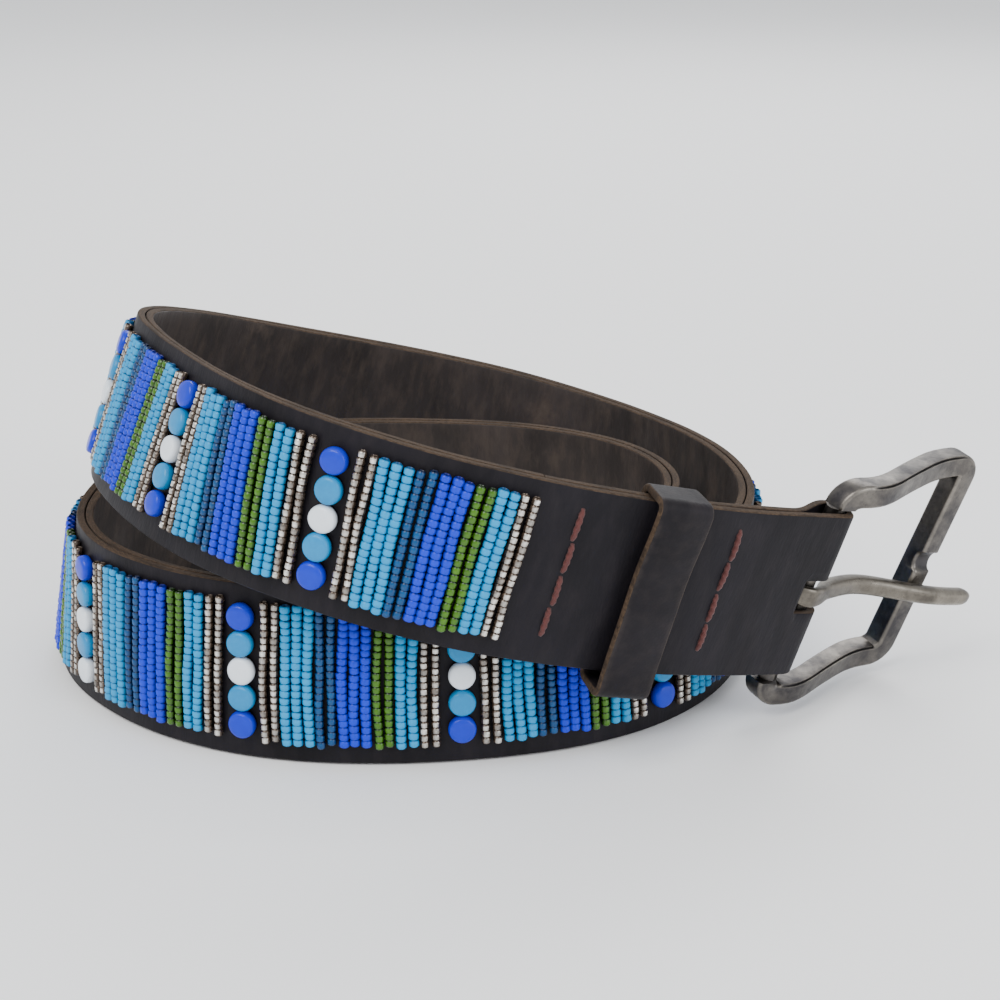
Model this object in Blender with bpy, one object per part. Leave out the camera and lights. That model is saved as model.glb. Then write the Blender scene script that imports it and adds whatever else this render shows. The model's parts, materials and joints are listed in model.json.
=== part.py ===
"""Beaded leather belt lying in a loose coil on its lower edge, with its buckle.

Lengths are in metres, +Z is up and the belt rests on Z = 0. The strap is laid out along a route:
a place on the belt is (along, across, out), with along measured from the fold at the buckle,
across from the belt's middle line towards its upper edge, and out from the joint between the
two leather plies towards the beaded face.
"""

import math

import bmesh
import bpy
import numpy as np
from mathutils import Matrix, Vector

# The strap
BELT_LENGTH = 1.015
BELT_WIDTH = 0.040
FACE_THICKNESS = 0.0018
LINING_THICKNESS = 0.0018
TOUCHING_GAP = 0.0003
BEAD_SEAT_GAP = 0.0005
FLAP_END = 0.079
TIP_ROUNDING = 0.016
TIP_END_SHARE = 0.34
SECTION_STEP = 0.008
TIP_STEPS = 5
CUTTER_OVERSIZE = 1.5

# The holes in the tip
HOLE_COUNT = 5
HOLE_DIAMETER = 0.004
HOLE_SIDES = 10
HOLE_SPACING = 0.025
LAST_HOLE_FROM_TIP = 0.050

# The coil as it lies: its width, its depth and the route that takes shares of them
COIL_SPAN = 0.165
COIL_DEPTH = 0.170

# The beadwork
ROW_PITCH = 0.0024
FIRST_BAY_ROW_PITCH = 0.00225
ROWS_IN_A_BAY = 16
DISC_LANE = 0.0079
FIRST_DISC_FROM_FOLD = 0.119
BEAD_TOP_MARGIN = 0.0035
BEAD_BOTTOM_MARGIN = 0.0045
SEED_HEIGHT = 0.0020
BEAD_BACK_STEP = 0.0064
SEED_VALLEY_SHARE = 0.55
PLAIN_TIP_LENGTH = 0.155
DISC_COUNT = 5
DISC_DIAMETER = 0.0060
DISC_HEIGHT = 0.0026
DISC_SIDES = 10
DISC_NECK_WIDTH = 0.0016
DISC_END_MARGIN = 0.0006

# The keeper
KEEPER_FROM_FOLD = 0.0443
KEEPER_WIDTH = 0.012
KEEPER_THICKNESS = 0.0018
KEEPER_FREE_DEPTH = 0.0034
KEEPER_DROP = 0.0025
KEEPER_CORNER_RADIUS = 0.0026
KEEPER_CORNER_STEPS = 3

# The buckle
BAR_DIAMETER = 0.0045
FRAME_SECTION = 0.0055
FRAME_EDGE_ROUNDING = 0.0009
FRAME_REACH = 0.039
FRAME_SIDE_CLEARANCE = 0.0025
FRAME_SLIP = 0.0013
FRAME_RACK = 0.0078
FRAME_SKEW = 0.003
FRAME_SET_BACK = 0.0034
FRAME_CORNER_SLACK = 0.0005
NOTCH_WIDTH = 0.0048
NOTCH_DEPTH = 0.0015
PRONG_OVERHANG = 0.0148
PRONG_DROP = 0.0005
PRONG_WIDTH = 0.0042
PRONG_THICKNESS = 0.0036
PRONG_WRAP_THICKNESS = 0.0020
PRONG_WRAP_START = math.radians(-60)
PRONG_WRAP_TURN = math.radians(-21)
PRONG_WRAP_SECTIONS = 11
PRONG_TONGUE_STEPS = 18
PRONG_NARROWING = 0.16
PRONG_POINT_SHARE = 0.55
PRONG_ROUNDING_SHARE = 0.8
PRONG_SWELL_SHARE = 0.25
PRONG_POINT_RISE_SHARE = 1.3
PRONG_SAG = 0.0026
PRONG_RISE = 0.0011
PRONG_SLOT_CLEARANCE = 0.0020
PRONG_SLOT_DEPTH = 0.0092
FOLD_TAPER = 0.014
FOLD_TAPER_STEPS = 6
FOLD_TURN_STEPS = 8

# Worked out from the sizes above
FACE_INNER = TOUCHING_GAP / 2
FACE_OUTER = FACE_INNER + FACE_THICKNESS
LINING_OUTER = -FACE_INNER
LINING_INNER = LINING_OUTER - LINING_THICKNESS
HALF_WIDTH = BELT_WIDTH / 2
BEAD_SEAT = FACE_OUTER + BEAD_SEAT_GAP
BEAD_TOP = HALF_WIDTH - BEAD_TOP_MARGIN
BEAD_BOTTOM = BEAD_BOTTOM_MARGIN - HALF_WIDTH
REPEAT = ROWS_IN_A_BAY * ROW_PITCH + DISC_LANE
BAR_RADIUS = BAR_DIAMETER / 2
FOLD_INNER_RADIUS = BAR_RADIUS + TOUCHING_GAP
FOLD_OUTER_RADIUS = FOLD_INNER_RADIUS + FACE_THICKNESS
BAR_ALONG = FOLD_OUTER_RADIUS
BAR_OUT = FACE_INNER - FOLD_INNER_RADIUS
FRAME_HALF_SECTION = FRAME_SECTION / 2
FRAME_HALF_HEIGHT = HALF_WIDTH + FRAME_SIDE_CLEARANCE + FRAME_HALF_SECTION
PRONG_SLOT_HALF_WIDTH = PRONG_WIDTH / 2 + PRONG_SLOT_CLEARANCE
PLY_BACK = (2,)
SMOOTH_BELOW = math.radians(40)

# How the belt lies, a row for each station along it, from the fold to the tip. The columns are
# the place of the belt's lower edge, as shares of COIL_SPAN, COIL_DEPTH and BELT_WIDTH, and the
# lean of its upper edge towards +X and +Y for each unit of height.
ROUTE_COLUMNS = ("span_share", "depth_share", "lift_share", "lean_x", "lean_y")
ROUTE = (
    (0.402, -0.432, 0.270, 0.30, -0.04),
    (0.252, -0.528, 0.450, 0.29, -0.04),
    (0.060, -0.608, 0.670, 0.26, -0.02),
    (-0.148, -0.642, 0.920, 0.26, 0.01),
    (-0.310, -0.588, 1.060, 0.29, 0.02),
    (-0.484, -0.420, 1.120, 0.42, 0.10),
    (-0.582, -0.212, 1.115, 0.38, 0.02),
    (-0.576, 0.030, 0.915, 0.26, -0.08),
    (-0.461, 0.240, 0.615, 0.12, -0.14),
    (-0.206, 0.335, 0.315, 0.00, -0.10),
    (0.012, 0.300, 0.140, 0.00, -0.02),
    (0.188, 0.200, 0.030, 0.01, 0.00),
    (0.325, 0.010, 0.000, 0.02, 0.00),
    (0.352, -0.220, 0.000, 0.02, 0.00),
    (0.196, -0.470, 0.000, 0.00, 0.04),
    (-0.055, -0.560, 0.000, 0.00, 0.05),
    (-0.333, -0.545, 0.000, 0.00, 0.05),
    (-0.552, -0.400, 0.000, 0.02, 0.06),
    (-0.642, -0.212, 0.000, 0.20, 0.00),
    (-0.582, -0.010, 0.000, 0.16, -0.06),
    (-0.424, 0.110, 0.000, 0.06, -0.06),
    (-0.206, 0.140, 0.000, 0.00, -0.05),
    (0.024, 0.106, 0.000, 0.00, 0.00),
    (0.206, -0.006, 0.000, 0.00, 0.00),
    (0.252, -0.180, 0.000, 0.00, 0.00),
    (0.152, -0.330, 0.000, 0.00, 0.02),
    (-0.048, -0.430, 0.000, 0.00, 0.04),
    (-0.267, -0.440, 0.000, 0.00, 0.04),
)
SAMPLES_PER_SPAN = 20
REFITS = 4

# How the buckle's arms bend away from the beaded face: share of the reach, share of the set-back
ARM_COLUMNS = ("reach_share", "set_back_share")
ARM_CONTOUR = (
    (0.00, 0.00),
    (0.15, -0.56),
    (0.27, -0.46),
    (0.42, 0.08),
    (0.60, 0.72),
    (0.78, 1.18),
    (0.90, 1.16),
    (1.00, 1.00),
)

# Where the frame has sections: shares of an arm's length, and of the notch's half width
ARM_SECTIONS = (0.15, 0.3, 0.45, 0.6, 0.75, 0.9)
NOTCH_SECTIONS = (1.15, 1.0, 0.8, 0.5, 0.0, -0.5, -0.8, -1.0, -1.15)

# How the prong runs from the bar: share of the frame's reach, share of the prong's sag
SAG_COLUMNS = ("reach_share", "sag_share")
PRONG_SAG_COURSE = (
    (0.08, -0.95),
    (0.16, -0.20),
    (0.28, 0.45),
    (0.50, 1.00),
    (0.68, 0.55),
)


def natural_spline(knots, values):
    """Give the natural cubic spline through values at knots, as a function of the parameter."""
    knots = np.asarray(knots, float)
    values = np.asarray(values, float)
    count = len(knots)
    step = np.diff(knots)
    matrix = np.eye(count)
    right = np.zeros(values.shape)
    for i in range(1, count - 1):
        matrix[i, i - 1:i + 2] = (step[i - 1], 2 * (step[i - 1] + step[i]), step[i])
        rise_after = (values[i + 1] - values[i]) / step[i]
        rise_before = (values[i] - values[i - 1]) / step[i - 1]
        right[i] = 6 * (rise_after - rise_before)
    bend = np.linalg.solve(matrix, right)

    def at(parameter):
        i = int(np.clip(np.searchsorted(knots, parameter) - 1, 0, count - 2))
        before = parameter - knots[i]
        after = knots[i + 1] - parameter
        cubic = (bend[i] * after ** 3 + bend[i + 1] * before ** 3) / (6 * step[i])
        line_start = (values[i] / step[i] - bend[i] * step[i] / 6) * after
        line_end = (values[i + 1] / step[i] - bend[i + 1] * step[i] / 6) * before
        return cubic + line_start + line_end

    return at


class Route:
    """The belt's middle line in space, measured along its own length."""

    def __init__(self):
        rows = np.array(ROUTE)
        lean = np.column_stack([rows[:, 3], rows[:, 4], np.ones(len(rows))])
        up = lean / np.linalg.norm(lean, axis=1, keepdims=True)
        lower_edge = rows[:, :3] * (COIL_SPAN, COIL_DEPTH, BELT_WIDTH)
        self.values = np.column_stack([lower_edge + up * HALF_WIDTH, rows[:, 3:]])
        knots = self.lengths(self.values[:, :3])
        for _ in range(REFITS):
            self.spline = natural_spline(knots, self.values)
            fine = [self.spline(a + (b - a) * k / SAMPLES_PER_SPAN)[:3]
                    for a, b in zip(knots[:-1], knots[1:]) for k in range(SAMPLES_PER_SPAN)]
            fine.append(self.spline(knots[-1])[:3])
            knots = self.lengths(np.array(fine))[::SAMPLES_PER_SPAN]
        self.end = knots[-1]

    @staticmethod
    def lengths(points):
        """Give the running length along a list of points."""
        return np.concatenate([[0.0], np.cumsum(np.linalg.norm(np.diff(points, axis=0), axis=1))])

    def value(self, along):
        """Give the spline's values, going on straight past the last station."""
        if along <= self.end:
            return self.spline(along)
        step = 0.001
        last = self.spline(self.end)
        heading = (last - self.spline(self.end - step)) / step
        heading[3:] = 0.0
        return last + heading * (along - self.end)

    def frame(self, along):
        """Give the middle point and the unit vectors along, across and out."""
        step = 0.0005
        value = self.value(along)
        tangent = (self.value(along + step) - self.value(along - step))[:3]
        tangent /= np.linalg.norm(tangent)
        across = np.array([value[3], value[4], 1.0])
        across -= across.dot(tangent) * tangent
        across /= np.linalg.norm(across)
        return value[:3], tangent, across, np.cross(across, tangent)

    def point(self, along, across, out):
        """Give the place in space of a place on the belt."""
        middle, _, across_axis, out_axis = self.frame(along)
        return Vector(middle + across * across_axis + out * out_axis)


BELT = Route()


def new_material(name, colour, roughness, metallic=0.0):
    """Make a plain material of one colour."""
    material = bpy.data.materials.new(name)
    material.use_nodes = True
    shader = material.node_tree.nodes["Principled BSDF"]
    shader.inputs["Base Color"].default_value = (*colour, 1.0)
    shader.inputs["Roughness"].default_value = roughness
    shader.inputs["Metallic"].default_value = metallic
    return material


def new_object(name, bm, material):
    """Make an object of a mesh whose faces point out, with its origin in its own middle."""
    bmesh.ops.recalc_face_normals(bm, faces=bm.faces)
    mesh = bpy.data.meshes.new(name)
    bm.to_mesh(mesh)
    bm.free()
    mesh.shade_smooth()
    mesh.set_sharp_from_angle(angle=SMOOTH_BELOW)
    mesh.materials.append(material)
    thing = bpy.data.objects.new(name, mesh)
    bpy.context.scene.collection.objects.link(thing)
    put_origin(thing, sum((vertex.co for vertex in mesh.vertices), Vector()) / len(mesh.vertices))
    return thing


def put_origin(thing, place):
    """Move an object's origin to a place without moving its shape."""
    thing.data.transform(Matrix.Translation(thing.location - place))
    thing.location = place


def loft(rings, closed=False, turned=()):
    """Join rings of points, capping both ends unless the loft closes on itself.

    Each quad is split in two, and the sides in turned are split along the other diagonal, so that
    two plies that lie on each other bend along the same lines.
    """
    bm = bmesh.new()
    rows = [[bm.verts.new(point) for point in ring] for ring in rings]
    count = len(rows[0])
    pairs = list(zip(rows[:-1], rows[1:]))
    if closed:
        pairs.append((rows[-1], rows[0]))
    for near, far in pairs:
        for k in range(count):
            after = (k + 1) % count
            if k in turned:
                bm.faces.new((near[k], near[after], far[k]))
                bm.faces.new((near[after], far[after], far[k]))
            else:
                bm.faces.new((near[k], near[after], far[after]))
                bm.faces.new((near[k], far[after], far[k]))
    if not closed:
        bm.faces.new(rows[0])
        bm.faces.new(rows[-1])
    return bm


def smooth_step(share):
    """Ease from 0 to 1."""
    share = min(max(share, 0.0), 1.0)
    return share * share * (3 - 2 * share)


def even_steps(start, end, longest):
    """Give evenly spaced values from start to end, no further apart than longest."""
    count = max(1, math.ceil((end - start) / longest))
    return [start + (end - start) * k / count for k in range(count + 1)]


def tip_half_width(along):
    """Give the strap's half width, drawn in at the rounded tip."""
    share = (along - (BELT_LENGTH - TIP_ROUNDING)) / TIP_ROUNDING
    if share <= 0:
        return HALF_WIDTH
    reach = math.sqrt(1 - TIP_END_SHARE ** 2)
    return HALF_WIDTH * math.sqrt(1 - (share * reach) ** 2)


def strip_stations(start):
    """Give the places along a ply where it has a section, closer round the tip."""
    body = even_steps(start, BELT_LENGTH - TIP_ROUNDING, SECTION_STEP)
    turn = [BELT_LENGTH - TIP_ROUNDING * (1 - math.sin(math.pi / 2 * k / TIP_STEPS))
            for k in range(1, TIP_STEPS + 1)]
    return body + turn


def ply_ring(front, back, half_width):
    """Give a ply's section from the (along, out) places of its front and back faces."""
    return [BELT.point(front[0], half_width, front[1]), BELT.point(front[0], -half_width, front[1]),
            BELT.point(back[0], -half_width, back[1]), BELT.point(back[0], half_width, back[1])]


def fold_rings():
    """Give the face ply's sections from the flap's end, round the bar and on to the front."""
    rings = []
    flap_back = -FACE_INNER - FACE_THICKNESS
    fall = BAR_OUT - FOLD_OUTER_RADIUS - flap_back
    flat = even_steps(BAR_ALONG + FOLD_TAPER, FLAP_END, SECTION_STEP)
    for along in reversed(flat):
        rings.append(ply_ring((along, flap_back), (along, flap_back + FACE_THICKNESS), HALF_WIDTH))
    for k in range(FOLD_TAPER_STEPS - 1, 0, -1):
        share = k / FOLD_TAPER_STEPS
        along = BAR_ALONG + FOLD_TAPER * share
        back = flap_back + fall * (1 - smooth_step(share))
        rings.append(ply_ring((along, back), (along, back + FACE_THICKNESS), HALF_WIDTH))
    for k in range(FOLD_TURN_STEPS + 1):
        angle = math.pi * (1.5 - k / FOLD_TURN_STEPS)
        places = [(BAR_ALONG + radius * math.cos(angle), BAR_OUT + radius * math.sin(angle))
                  for radius in (FOLD_OUTER_RADIUS, FOLD_INNER_RADIUS)]
        rings.append(ply_ring(places[0], places[1], HALF_WIDTH))
    return rings


def bar_basis():
    """Give the bar's middle and the unit vectors away from the strap, along the bar and out."""
    middle, tangent, across, out = BELT.frame(BAR_ALONG)
    return Vector(middle + BAR_OUT * out), Vector(-tangent), Vector(across), Vector(out)


def cutter(name, bm):
    """Make a hidden cutting body."""
    thing = new_object(name, bm, MATERIALS["cutter"])
    thing.hide_render = True
    thing.display_type = "WIRE"
    return thing


def cut(thing, tool):
    """Cut one body with another."""
    modifier = thing.modifiers.new(tool.name, "BOOLEAN")
    modifier.operation = "DIFFERENCE"
    modifier.object = tool
    modifier.solver = "EXACT"


def prong_slot_cutter():
    """Cut the slot through the fold that the prong stands in."""
    middle, away, along_bar, out = bar_basis()
    near = -(PRONG_SLOT_DEPTH - BAR_ALONG)
    far = FOLD_OUTER_RADIUS * CUTTER_OVERSIZE
    depth = far
    rings = []
    for side in (-PRONG_SLOT_HALF_WIDTH, PRONG_SLOT_HALF_WIDTH):
        rings.append([middle + away * u + along_bar * side + out * n
                      for u, n in ((near, -depth), (far, -depth), (far, depth), (near, depth))])
    return cutter("prong_slot_cutter", loft(rings))


def hole_places():
    """Give how far along the belt each tip hole stands."""
    return [BELT_LENGTH - LAST_HOLE_FROM_TIP - HOLE_SPACING * k for k in range(HOLE_COUNT)]


def tip_hole_cutter():
    """Cut the tip holes through both plies."""
    bm = bmesh.new()
    reach = FACE_THICKNESS + LINING_THICKNESS
    for along in hole_places():
        middle, tangent, across, out = (Vector(v) for v in BELT.frame(along))
        turns = [math.tau * k / HOLE_SIDES for k in range(HOLE_SIDES)]
        rings = [[middle + out * depth + tangent * (HOLE_DIAMETER / 2 * math.cos(turn))
                  + across * (HOLE_DIAMETER / 2 * math.sin(turn)) for turn in turns]
                 for depth in (-reach, reach)]
        rows = [[bm.verts.new(point) for point in ring] for ring in rings]
        for k in range(HOLE_SIDES):
            after = (k + 1) % HOLE_SIDES
            bm.faces.new((rows[0][k], rows[0][after], rows[1][after], rows[1][k]))
        bm.faces.new(rows[0])
        bm.faces.new(rows[1])
    return cutter("tip_hole_cutter", bm)


def make_face_leather():
    """Make the outer ply: flap, fold, whole strap and rounded tip."""
    rings = fold_rings()
    tab = even_steps(BAR_ALONG, FLAP_END, SECTION_STEP)[1:]
    for along in tab + strip_stations(FLAP_END + TOUCHING_GAP):
        rings.append(ply_ring((along, FACE_OUTER), (along, FACE_INNER), tip_half_width(along)))
    thing = new_object("face_leather", loft(rings, turned=PLY_BACK), MATERIALS["face_leather"])
    cut(thing, prong_slot_cutter())
    cut(thing, bpy.data.objects["tip_hole_cutter"])
    return thing


def make_lining_leather():
    """Make the inner ply, from the flap's end to the tip."""
    rings = [ply_ring((along, LINING_OUTER), (along, LINING_INNER), tip_half_width(along))
             for along in strip_stations(FLAP_END + TOUCHING_GAP)]
    thing = new_object("lining_leather", loft(rings, turned=PLY_BACK), MATERIALS["lining_leather"])
    cut(thing, bpy.data.objects["tip_hole_cutter"])
    return thing


def rounded_box_outline(top, bottom, front, back, radius):
    """Give the (across, out) outline of a box with round corners."""
    outline = []
    corners = ((top - radius, front - radius, 0), (bottom + radius, front - radius, 90),
               (bottom + radius, back + radius, 180), (top - radius, back + radius, 270))
    for across, out, start in corners:
        for k in range(KEEPER_CORNER_STEPS + 1):
            angle = math.radians(start + 90 * k / KEEPER_CORNER_STEPS)
            outline.append((across + radius * math.cos(angle), out + radius * math.sin(angle)))
    return outline


def make_keeper():
    """Make the leather loop round the tab, hung on its upper edge."""
    top = HALF_WIDTH + TOUCHING_GAP
    bottom = -HALF_WIDTH - KEEPER_DROP
    front = FACE_OUTER + KEEPER_FREE_DEPTH
    back = -FACE_INNER - FACE_THICKNESS - TOUCHING_GAP
    inner_radius = KEEPER_CORNER_RADIUS - KEEPER_THICKNESS
    inner = rounded_box_outline(top, bottom, front, back, inner_radius)
    outer = rounded_box_outline(top + KEEPER_THICKNESS, bottom - KEEPER_THICKNESS,
                                front + KEEPER_THICKNESS, back - KEEPER_THICKNESS,
                                KEEPER_CORNER_RADIUS)
    near, far = KEEPER_FROM_FOLD, KEEPER_FROM_FOLD + KEEPER_WIDTH
    rings = [[BELT.point(near, *o), BELT.point(far, *o), BELT.point(far, *i), BELT.point(near, *i)]
             for o, i in zip(outer, inner)]
    return new_object("keeper", loft(rings, closed=True), MATERIALS["keeper_leather"])


def bay_spans():
    """Give the start and end of each field of seed beads and the middle of each disc column."""
    half_lane = DISC_LANE / 2
    first_length = ROWS_IN_A_BAY * FIRST_BAY_ROW_PITCH
    first_end = FIRST_DISC_FROM_FOLD - half_lane
    spans = [(first_end - first_length, first_end)]
    discs = []
    middle = FIRST_DISC_FROM_FOLD
    while middle + REPEAT - half_lane <= BELT_LENGTH - PLAIN_TIP_LENGTH:
        discs.append(middle)
        spans.append((middle + half_lane, middle + REPEAT - half_lane))
        middle += REPEAT
    return spans, discs


def make_seed_bay(number, start, end):
    """Make one field of seed beads as a plate with a rib for each row."""
    pitch = (end - start) / ROWS_IN_A_BAY
    front = []
    for row in range(ROWS_IN_A_BAY):
        front.append((start + pitch * row, SEED_HEIGHT * SEED_VALLEY_SHARE))
        front.append((start + pitch * (row + 0.5), SEED_HEIGHT))
    front.append((end, SEED_HEIGHT * SEED_VALLEY_SHARE))
    back = [(along, 0.0) for along in reversed(even_steps(start, end, BEAD_BACK_STEP))]
    outline = [(along, BEAD_SEAT + height) for along, height in front + back]
    rings = [[BELT.point(along, across, out) for along, out in outline]
             for across in (BEAD_BOTTOM, BEAD_TOP)]
    turned = range(len(front))
    return new_object(f"seed_bay_{number:02d}", loft(rings, turned=turned), MATERIALS["seed_beads"])


def disc_column_outline(middle):
    """Give the (along, across) outline of five discs joined by short necks."""
    radius = DISC_DIAMETER / 2
    highest = BEAD_TOP - DISC_END_MARGIN - radius
    lowest = BEAD_BOTTOM + DISC_END_MARGIN + radius
    centres = [highest + (lowest - highest) * k / (DISC_COUNT - 1) for k in range(DISC_COUNT)]
    neck = math.asin(DISC_NECK_WIDTH / 2 / radius)
    turn = [-math.pi / 2 + neck + (math.pi - 2 * neck) * k / (DISC_SIDES // 2)
            for k in range(DISC_SIDES // 2 + 1)]
    side = []
    for centre in reversed(centres):
        side += [(radius * math.cos(angle), centre + radius * math.sin(angle)) for angle in turn]
    right = [(middle + along, across) for along, across in side]
    left = [(middle - along, across) for along, across in reversed(side)]
    return right + left


def make_disc_column(number, middle):
    """Make one column of disc beads, fused by necks."""
    outline = disc_column_outline(middle)
    rings = [[BELT.point(along, across, BEAD_SEAT + height) for along, across in outline]
             for height in (0.0, DISC_HEIGHT)]
    return new_object(f"disc_column_{number:02d}", loft(rings), MATERIALS["disc_beads"])


def section_outline(half_side, half_depth, rounding):
    """Give a bar's section as twelve (side, depth) points, a rounded box or a circle."""
    points = []
    for side, depth in ((1, 1), (-1, 1), (-1, -1), (1, -1)):
        flat = (half_side - rounding, half_depth - rounding)
        for k in (0, 1, 2):
            angle = math.radians(15 + 30 * k)
            corner = (flat[0] + rounding * math.cos(angle), flat[1] + rounding * math.sin(angle))
            points.append((side * corner[0], depth * corner[1]))
        if side * depth < 0:
            points[-3:] = points[:-4:-1]
    return points


def arm_set_back(reach_share):
    """Give how far the frame lies behind its bar at a share of its reach."""
    shares = [row[0] for row in ARM_CONTOUR]
    course = natural_spline(shares, [[row[1]] for row in ARM_CONTOUR])
    return FRAME_SET_BACK * float(course(reach_share)[0])


def frame_path():
    """Give the frame's closed path: (reach, height, turn of the outward side, is it the bar)."""
    corner = FRAME_HALF_SECTION + FRAME_CORNER_SLACK
    top = FRAME_HALF_HEIGHT
    path = []

    def add_corner(reach, height, start):
        for k in range(5):
            angle = math.radians(start - 90 * k / 4)
            path.append((reach + corner * math.cos(angle), height + corner * math.sin(angle), angle, False))

    def add_arm(height, angle, shares):
        for share in shares:
            path.append((corner + (FRAME_REACH - 2 * corner) * share, height, angle, False))

    bar_end = top - corner - TOUCHING_GAP
    add_corner(corner, top - corner, 180)
    add_arm(top, math.pi / 2, ARM_SECTIONS)
    add_corner(FRAME_REACH - corner, top - corner, 90)
    half_notch = NOTCH_WIDTH / 2
    for share in NOTCH_SECTIONS:
        path.append((FRAME_REACH, half_notch * share, 0.0, False))
    add_corner(FRAME_REACH - corner, corner - top, 0)
    add_arm(-top, -math.pi / 2, reversed(ARM_SECTIONS))
    add_corner(corner, corner - top, -90)
    path.append((0.0, -bar_end, math.pi, True))
    path.append((0.0, bar_end, math.pi, True))
    return path


def notch_depth(reach, height):
    """Give how deep the prong's seat is cut into the frame's far side."""
    share = height / (NOTCH_WIDTH / 2)
    if reach < FRAME_REACH - TOUCHING_GAP or abs(share) >= 1:
        return 0.0
    return NOTCH_DEPTH * math.sqrt(1 - share * share)


def make_buckle_frame():
    """Make the frame and its bar as one closed loop of sections."""
    middle, away, along_bar, out = bar_basis()
    square = section_outline(FRAME_HALF_SECTION, FRAME_HALF_SECTION, FRAME_EDGE_ROUNDING)
    circle = section_outline(BAR_RADIUS, BAR_RADIUS, BAR_RADIUS)
    rings = []
    for reach, height, angle, is_bar in frame_path():
        share = reach / FRAME_REACH
        lean = FRAME_RACK * share - FRAME_SLIP
        back = arm_set_back(min(max(share, 0.0), 1.0))
        ring = []
        for side, depth in (circle if is_bar else square):
            seat = notch_depth(reach, height) if depth > 0 and not is_bar else 0.0
            w = height + lean + side * math.sin(angle)
            skew = 0.0 if is_bar else FRAME_SKEW * height / (2 * FRAME_HALF_HEIGHT)
            u = reach + skew + side * math.cos(angle)
            ring.append(middle + away * u + along_bar * w + out * (depth - seat - back))
        rings.append(ring)
    thing = new_object("buckle_frame", loft(rings, closed=True), MATERIALS["frame_metal"])
    put_origin(thing, middle)
    return thing


def prong_path():
    """Give the prong's (reach, out, heading, half thickness) from its wrapped end to its point."""
    wrap_half = PRONG_WRAP_THICKNESS / 2
    wrap_radius = BAR_RADIUS + TOUCHING_GAP + wrap_half
    path = []
    for k in range(PRONG_WRAP_SECTIONS):
        angle = PRONG_WRAP_START + PRONG_WRAP_TURN * k
        heading = angle - math.pi / 2
        path.append((wrap_radius * math.cos(angle), wrap_radius * math.sin(angle), heading, wrap_half))
    seat = FRAME_HALF_SECTION - arm_set_back(1.0) + TOUCHING_GAP + PRONG_THICKNESS / 2
    end = FRAME_REACH + PRONG_OVERHANG
    rest = (FRAME_REACH - FRAME_HALF_SECTION, FRAME_REACH + FRAME_HALF_SECTION)
    reaches = [0.0] + [FRAME_REACH * row[0] for row in PRONG_SAG_COURSE] + [*rest, end]
    levels = [wrap_radius] + [-PRONG_SAG * row[1] for row in PRONG_SAG_COURSE]
    levels += [seat, seat + PRONG_RISE, seat + PRONG_RISE * PRONG_POINT_RISE_SHARE]
    heights = natural_spline(reaches, [[level] for level in levels])
    for k in range(1, PRONG_TONGUE_STEPS + 1):
        reach = end * k / PRONG_TONGUE_STEPS
        rise = float((heights(reach + 1e-4) - heights(reach - 1e-4))[0]) / 2e-4
        grown = smooth_step(reach / (FRAME_REACH * PRONG_SWELL_SHARE))
        half = wrap_half + (PRONG_THICKNESS / 2 - wrap_half) * grown
        path.append((reach, float(heights(reach)[0]), math.atan(rise), half))
    return path


def make_prong():
    """Make the prong: a bar wrapped round the frame's bar, arched and drawn to a blunt point."""
    middle, away, along_bar, out = bar_basis()
    path = prong_path()
    end = path[-1][0]
    blunt = PRONG_THICKNESS
    rings = []
    for index, (reach, height, heading, half) in enumerate(path):
        is_tongue = index >= PRONG_WRAP_SECTIONS
        taper = 1.0
        if is_tongue and end - reach < blunt:
            taper = PRONG_POINT_SHARE
        narrowing = PRONG_NARROWING * reach / end if is_tongue else 0.0
        half_wide = PRONG_WIDTH / 2 * (1 - narrowing) * taper
        half_deep = half * taper
        rounding = min(half_wide, half_deep) * PRONG_ROUNDING_SHARE
        across_path = away * -math.sin(heading) + out * math.cos(heading)
        place = middle + away * reach + out * height - along_bar * PRONG_DROP
        rings.append([place + along_bar * side + across_path * depth
                      for side, depth in section_outline(half_wide, half_deep, rounding)])
    thing = new_object("prong", loft(rings), MATERIALS["prong_metal"])
    put_origin(thing, middle)
    return thing


def clear_scene():
    """Remove what the scene holds."""
    for thing in list(bpy.data.objects):
        bpy.data.objects.remove(thing, do_unlink=True)


def stand_on_floor():
    """Move everything so that the origin is under the middle of the part, at its lowest point."""
    bpy.context.view_layer.update()
    depsgraph = bpy.context.evaluated_depsgraph_get()
    corners = []
    for thing in bpy.data.objects:
        if thing.type == "MESH" and not thing.hide_render:
            seen = thing.evaluated_get(depsgraph)
            corners += [seen.matrix_world @ vertex.co for vertex in seen.data.vertices]
    low = [min(corner[axis] for corner in corners) for axis in range(3)]
    high = [max(corner[axis] for corner in corners) for axis in range(3)]
    shift = Vector((-(low[0] + high[0]) / 2, -(low[1] + high[1]) / 2, -low[2]))
    for thing in bpy.data.objects:
        thing.location = thing.location + shift


clear_scene()
MATERIALS = {
    "face_leather": new_material("face_leather", (0.030, 0.026, 0.032), 0.55),
    "lining_leather": new_material("lining_leather", (0.032, 0.025, 0.022), 0.65),
    "keeper_leather": new_material("keeper_leather", (0.032, 0.026, 0.028), 0.55),
    "seed_beads": new_material("seed_beads", (0.070, 0.400, 0.650), 0.25),
    "disc_beads": new_material("disc_beads", (0.050, 0.130, 0.700), 0.20),
    "frame_metal": new_material("frame_metal", (0.330, 0.310, 0.290), 0.38, 1.0),
    "prong_metal": new_material("prong_metal", (0.360, 0.340, 0.310), 0.38, 1.0),
    "cutter": new_material("cutter", (0.800, 0.100, 0.100), 0.50),
}
tip_hole_cutter()
make_face_leather()
make_lining_leather()
make_keeper()
BAYS, DISC_MIDDLES = bay_spans()
for bay_number, (bay_start, bay_end) in enumerate(BAYS, start=1):
    make_seed_bay(bay_number, bay_start, bay_end)
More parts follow.
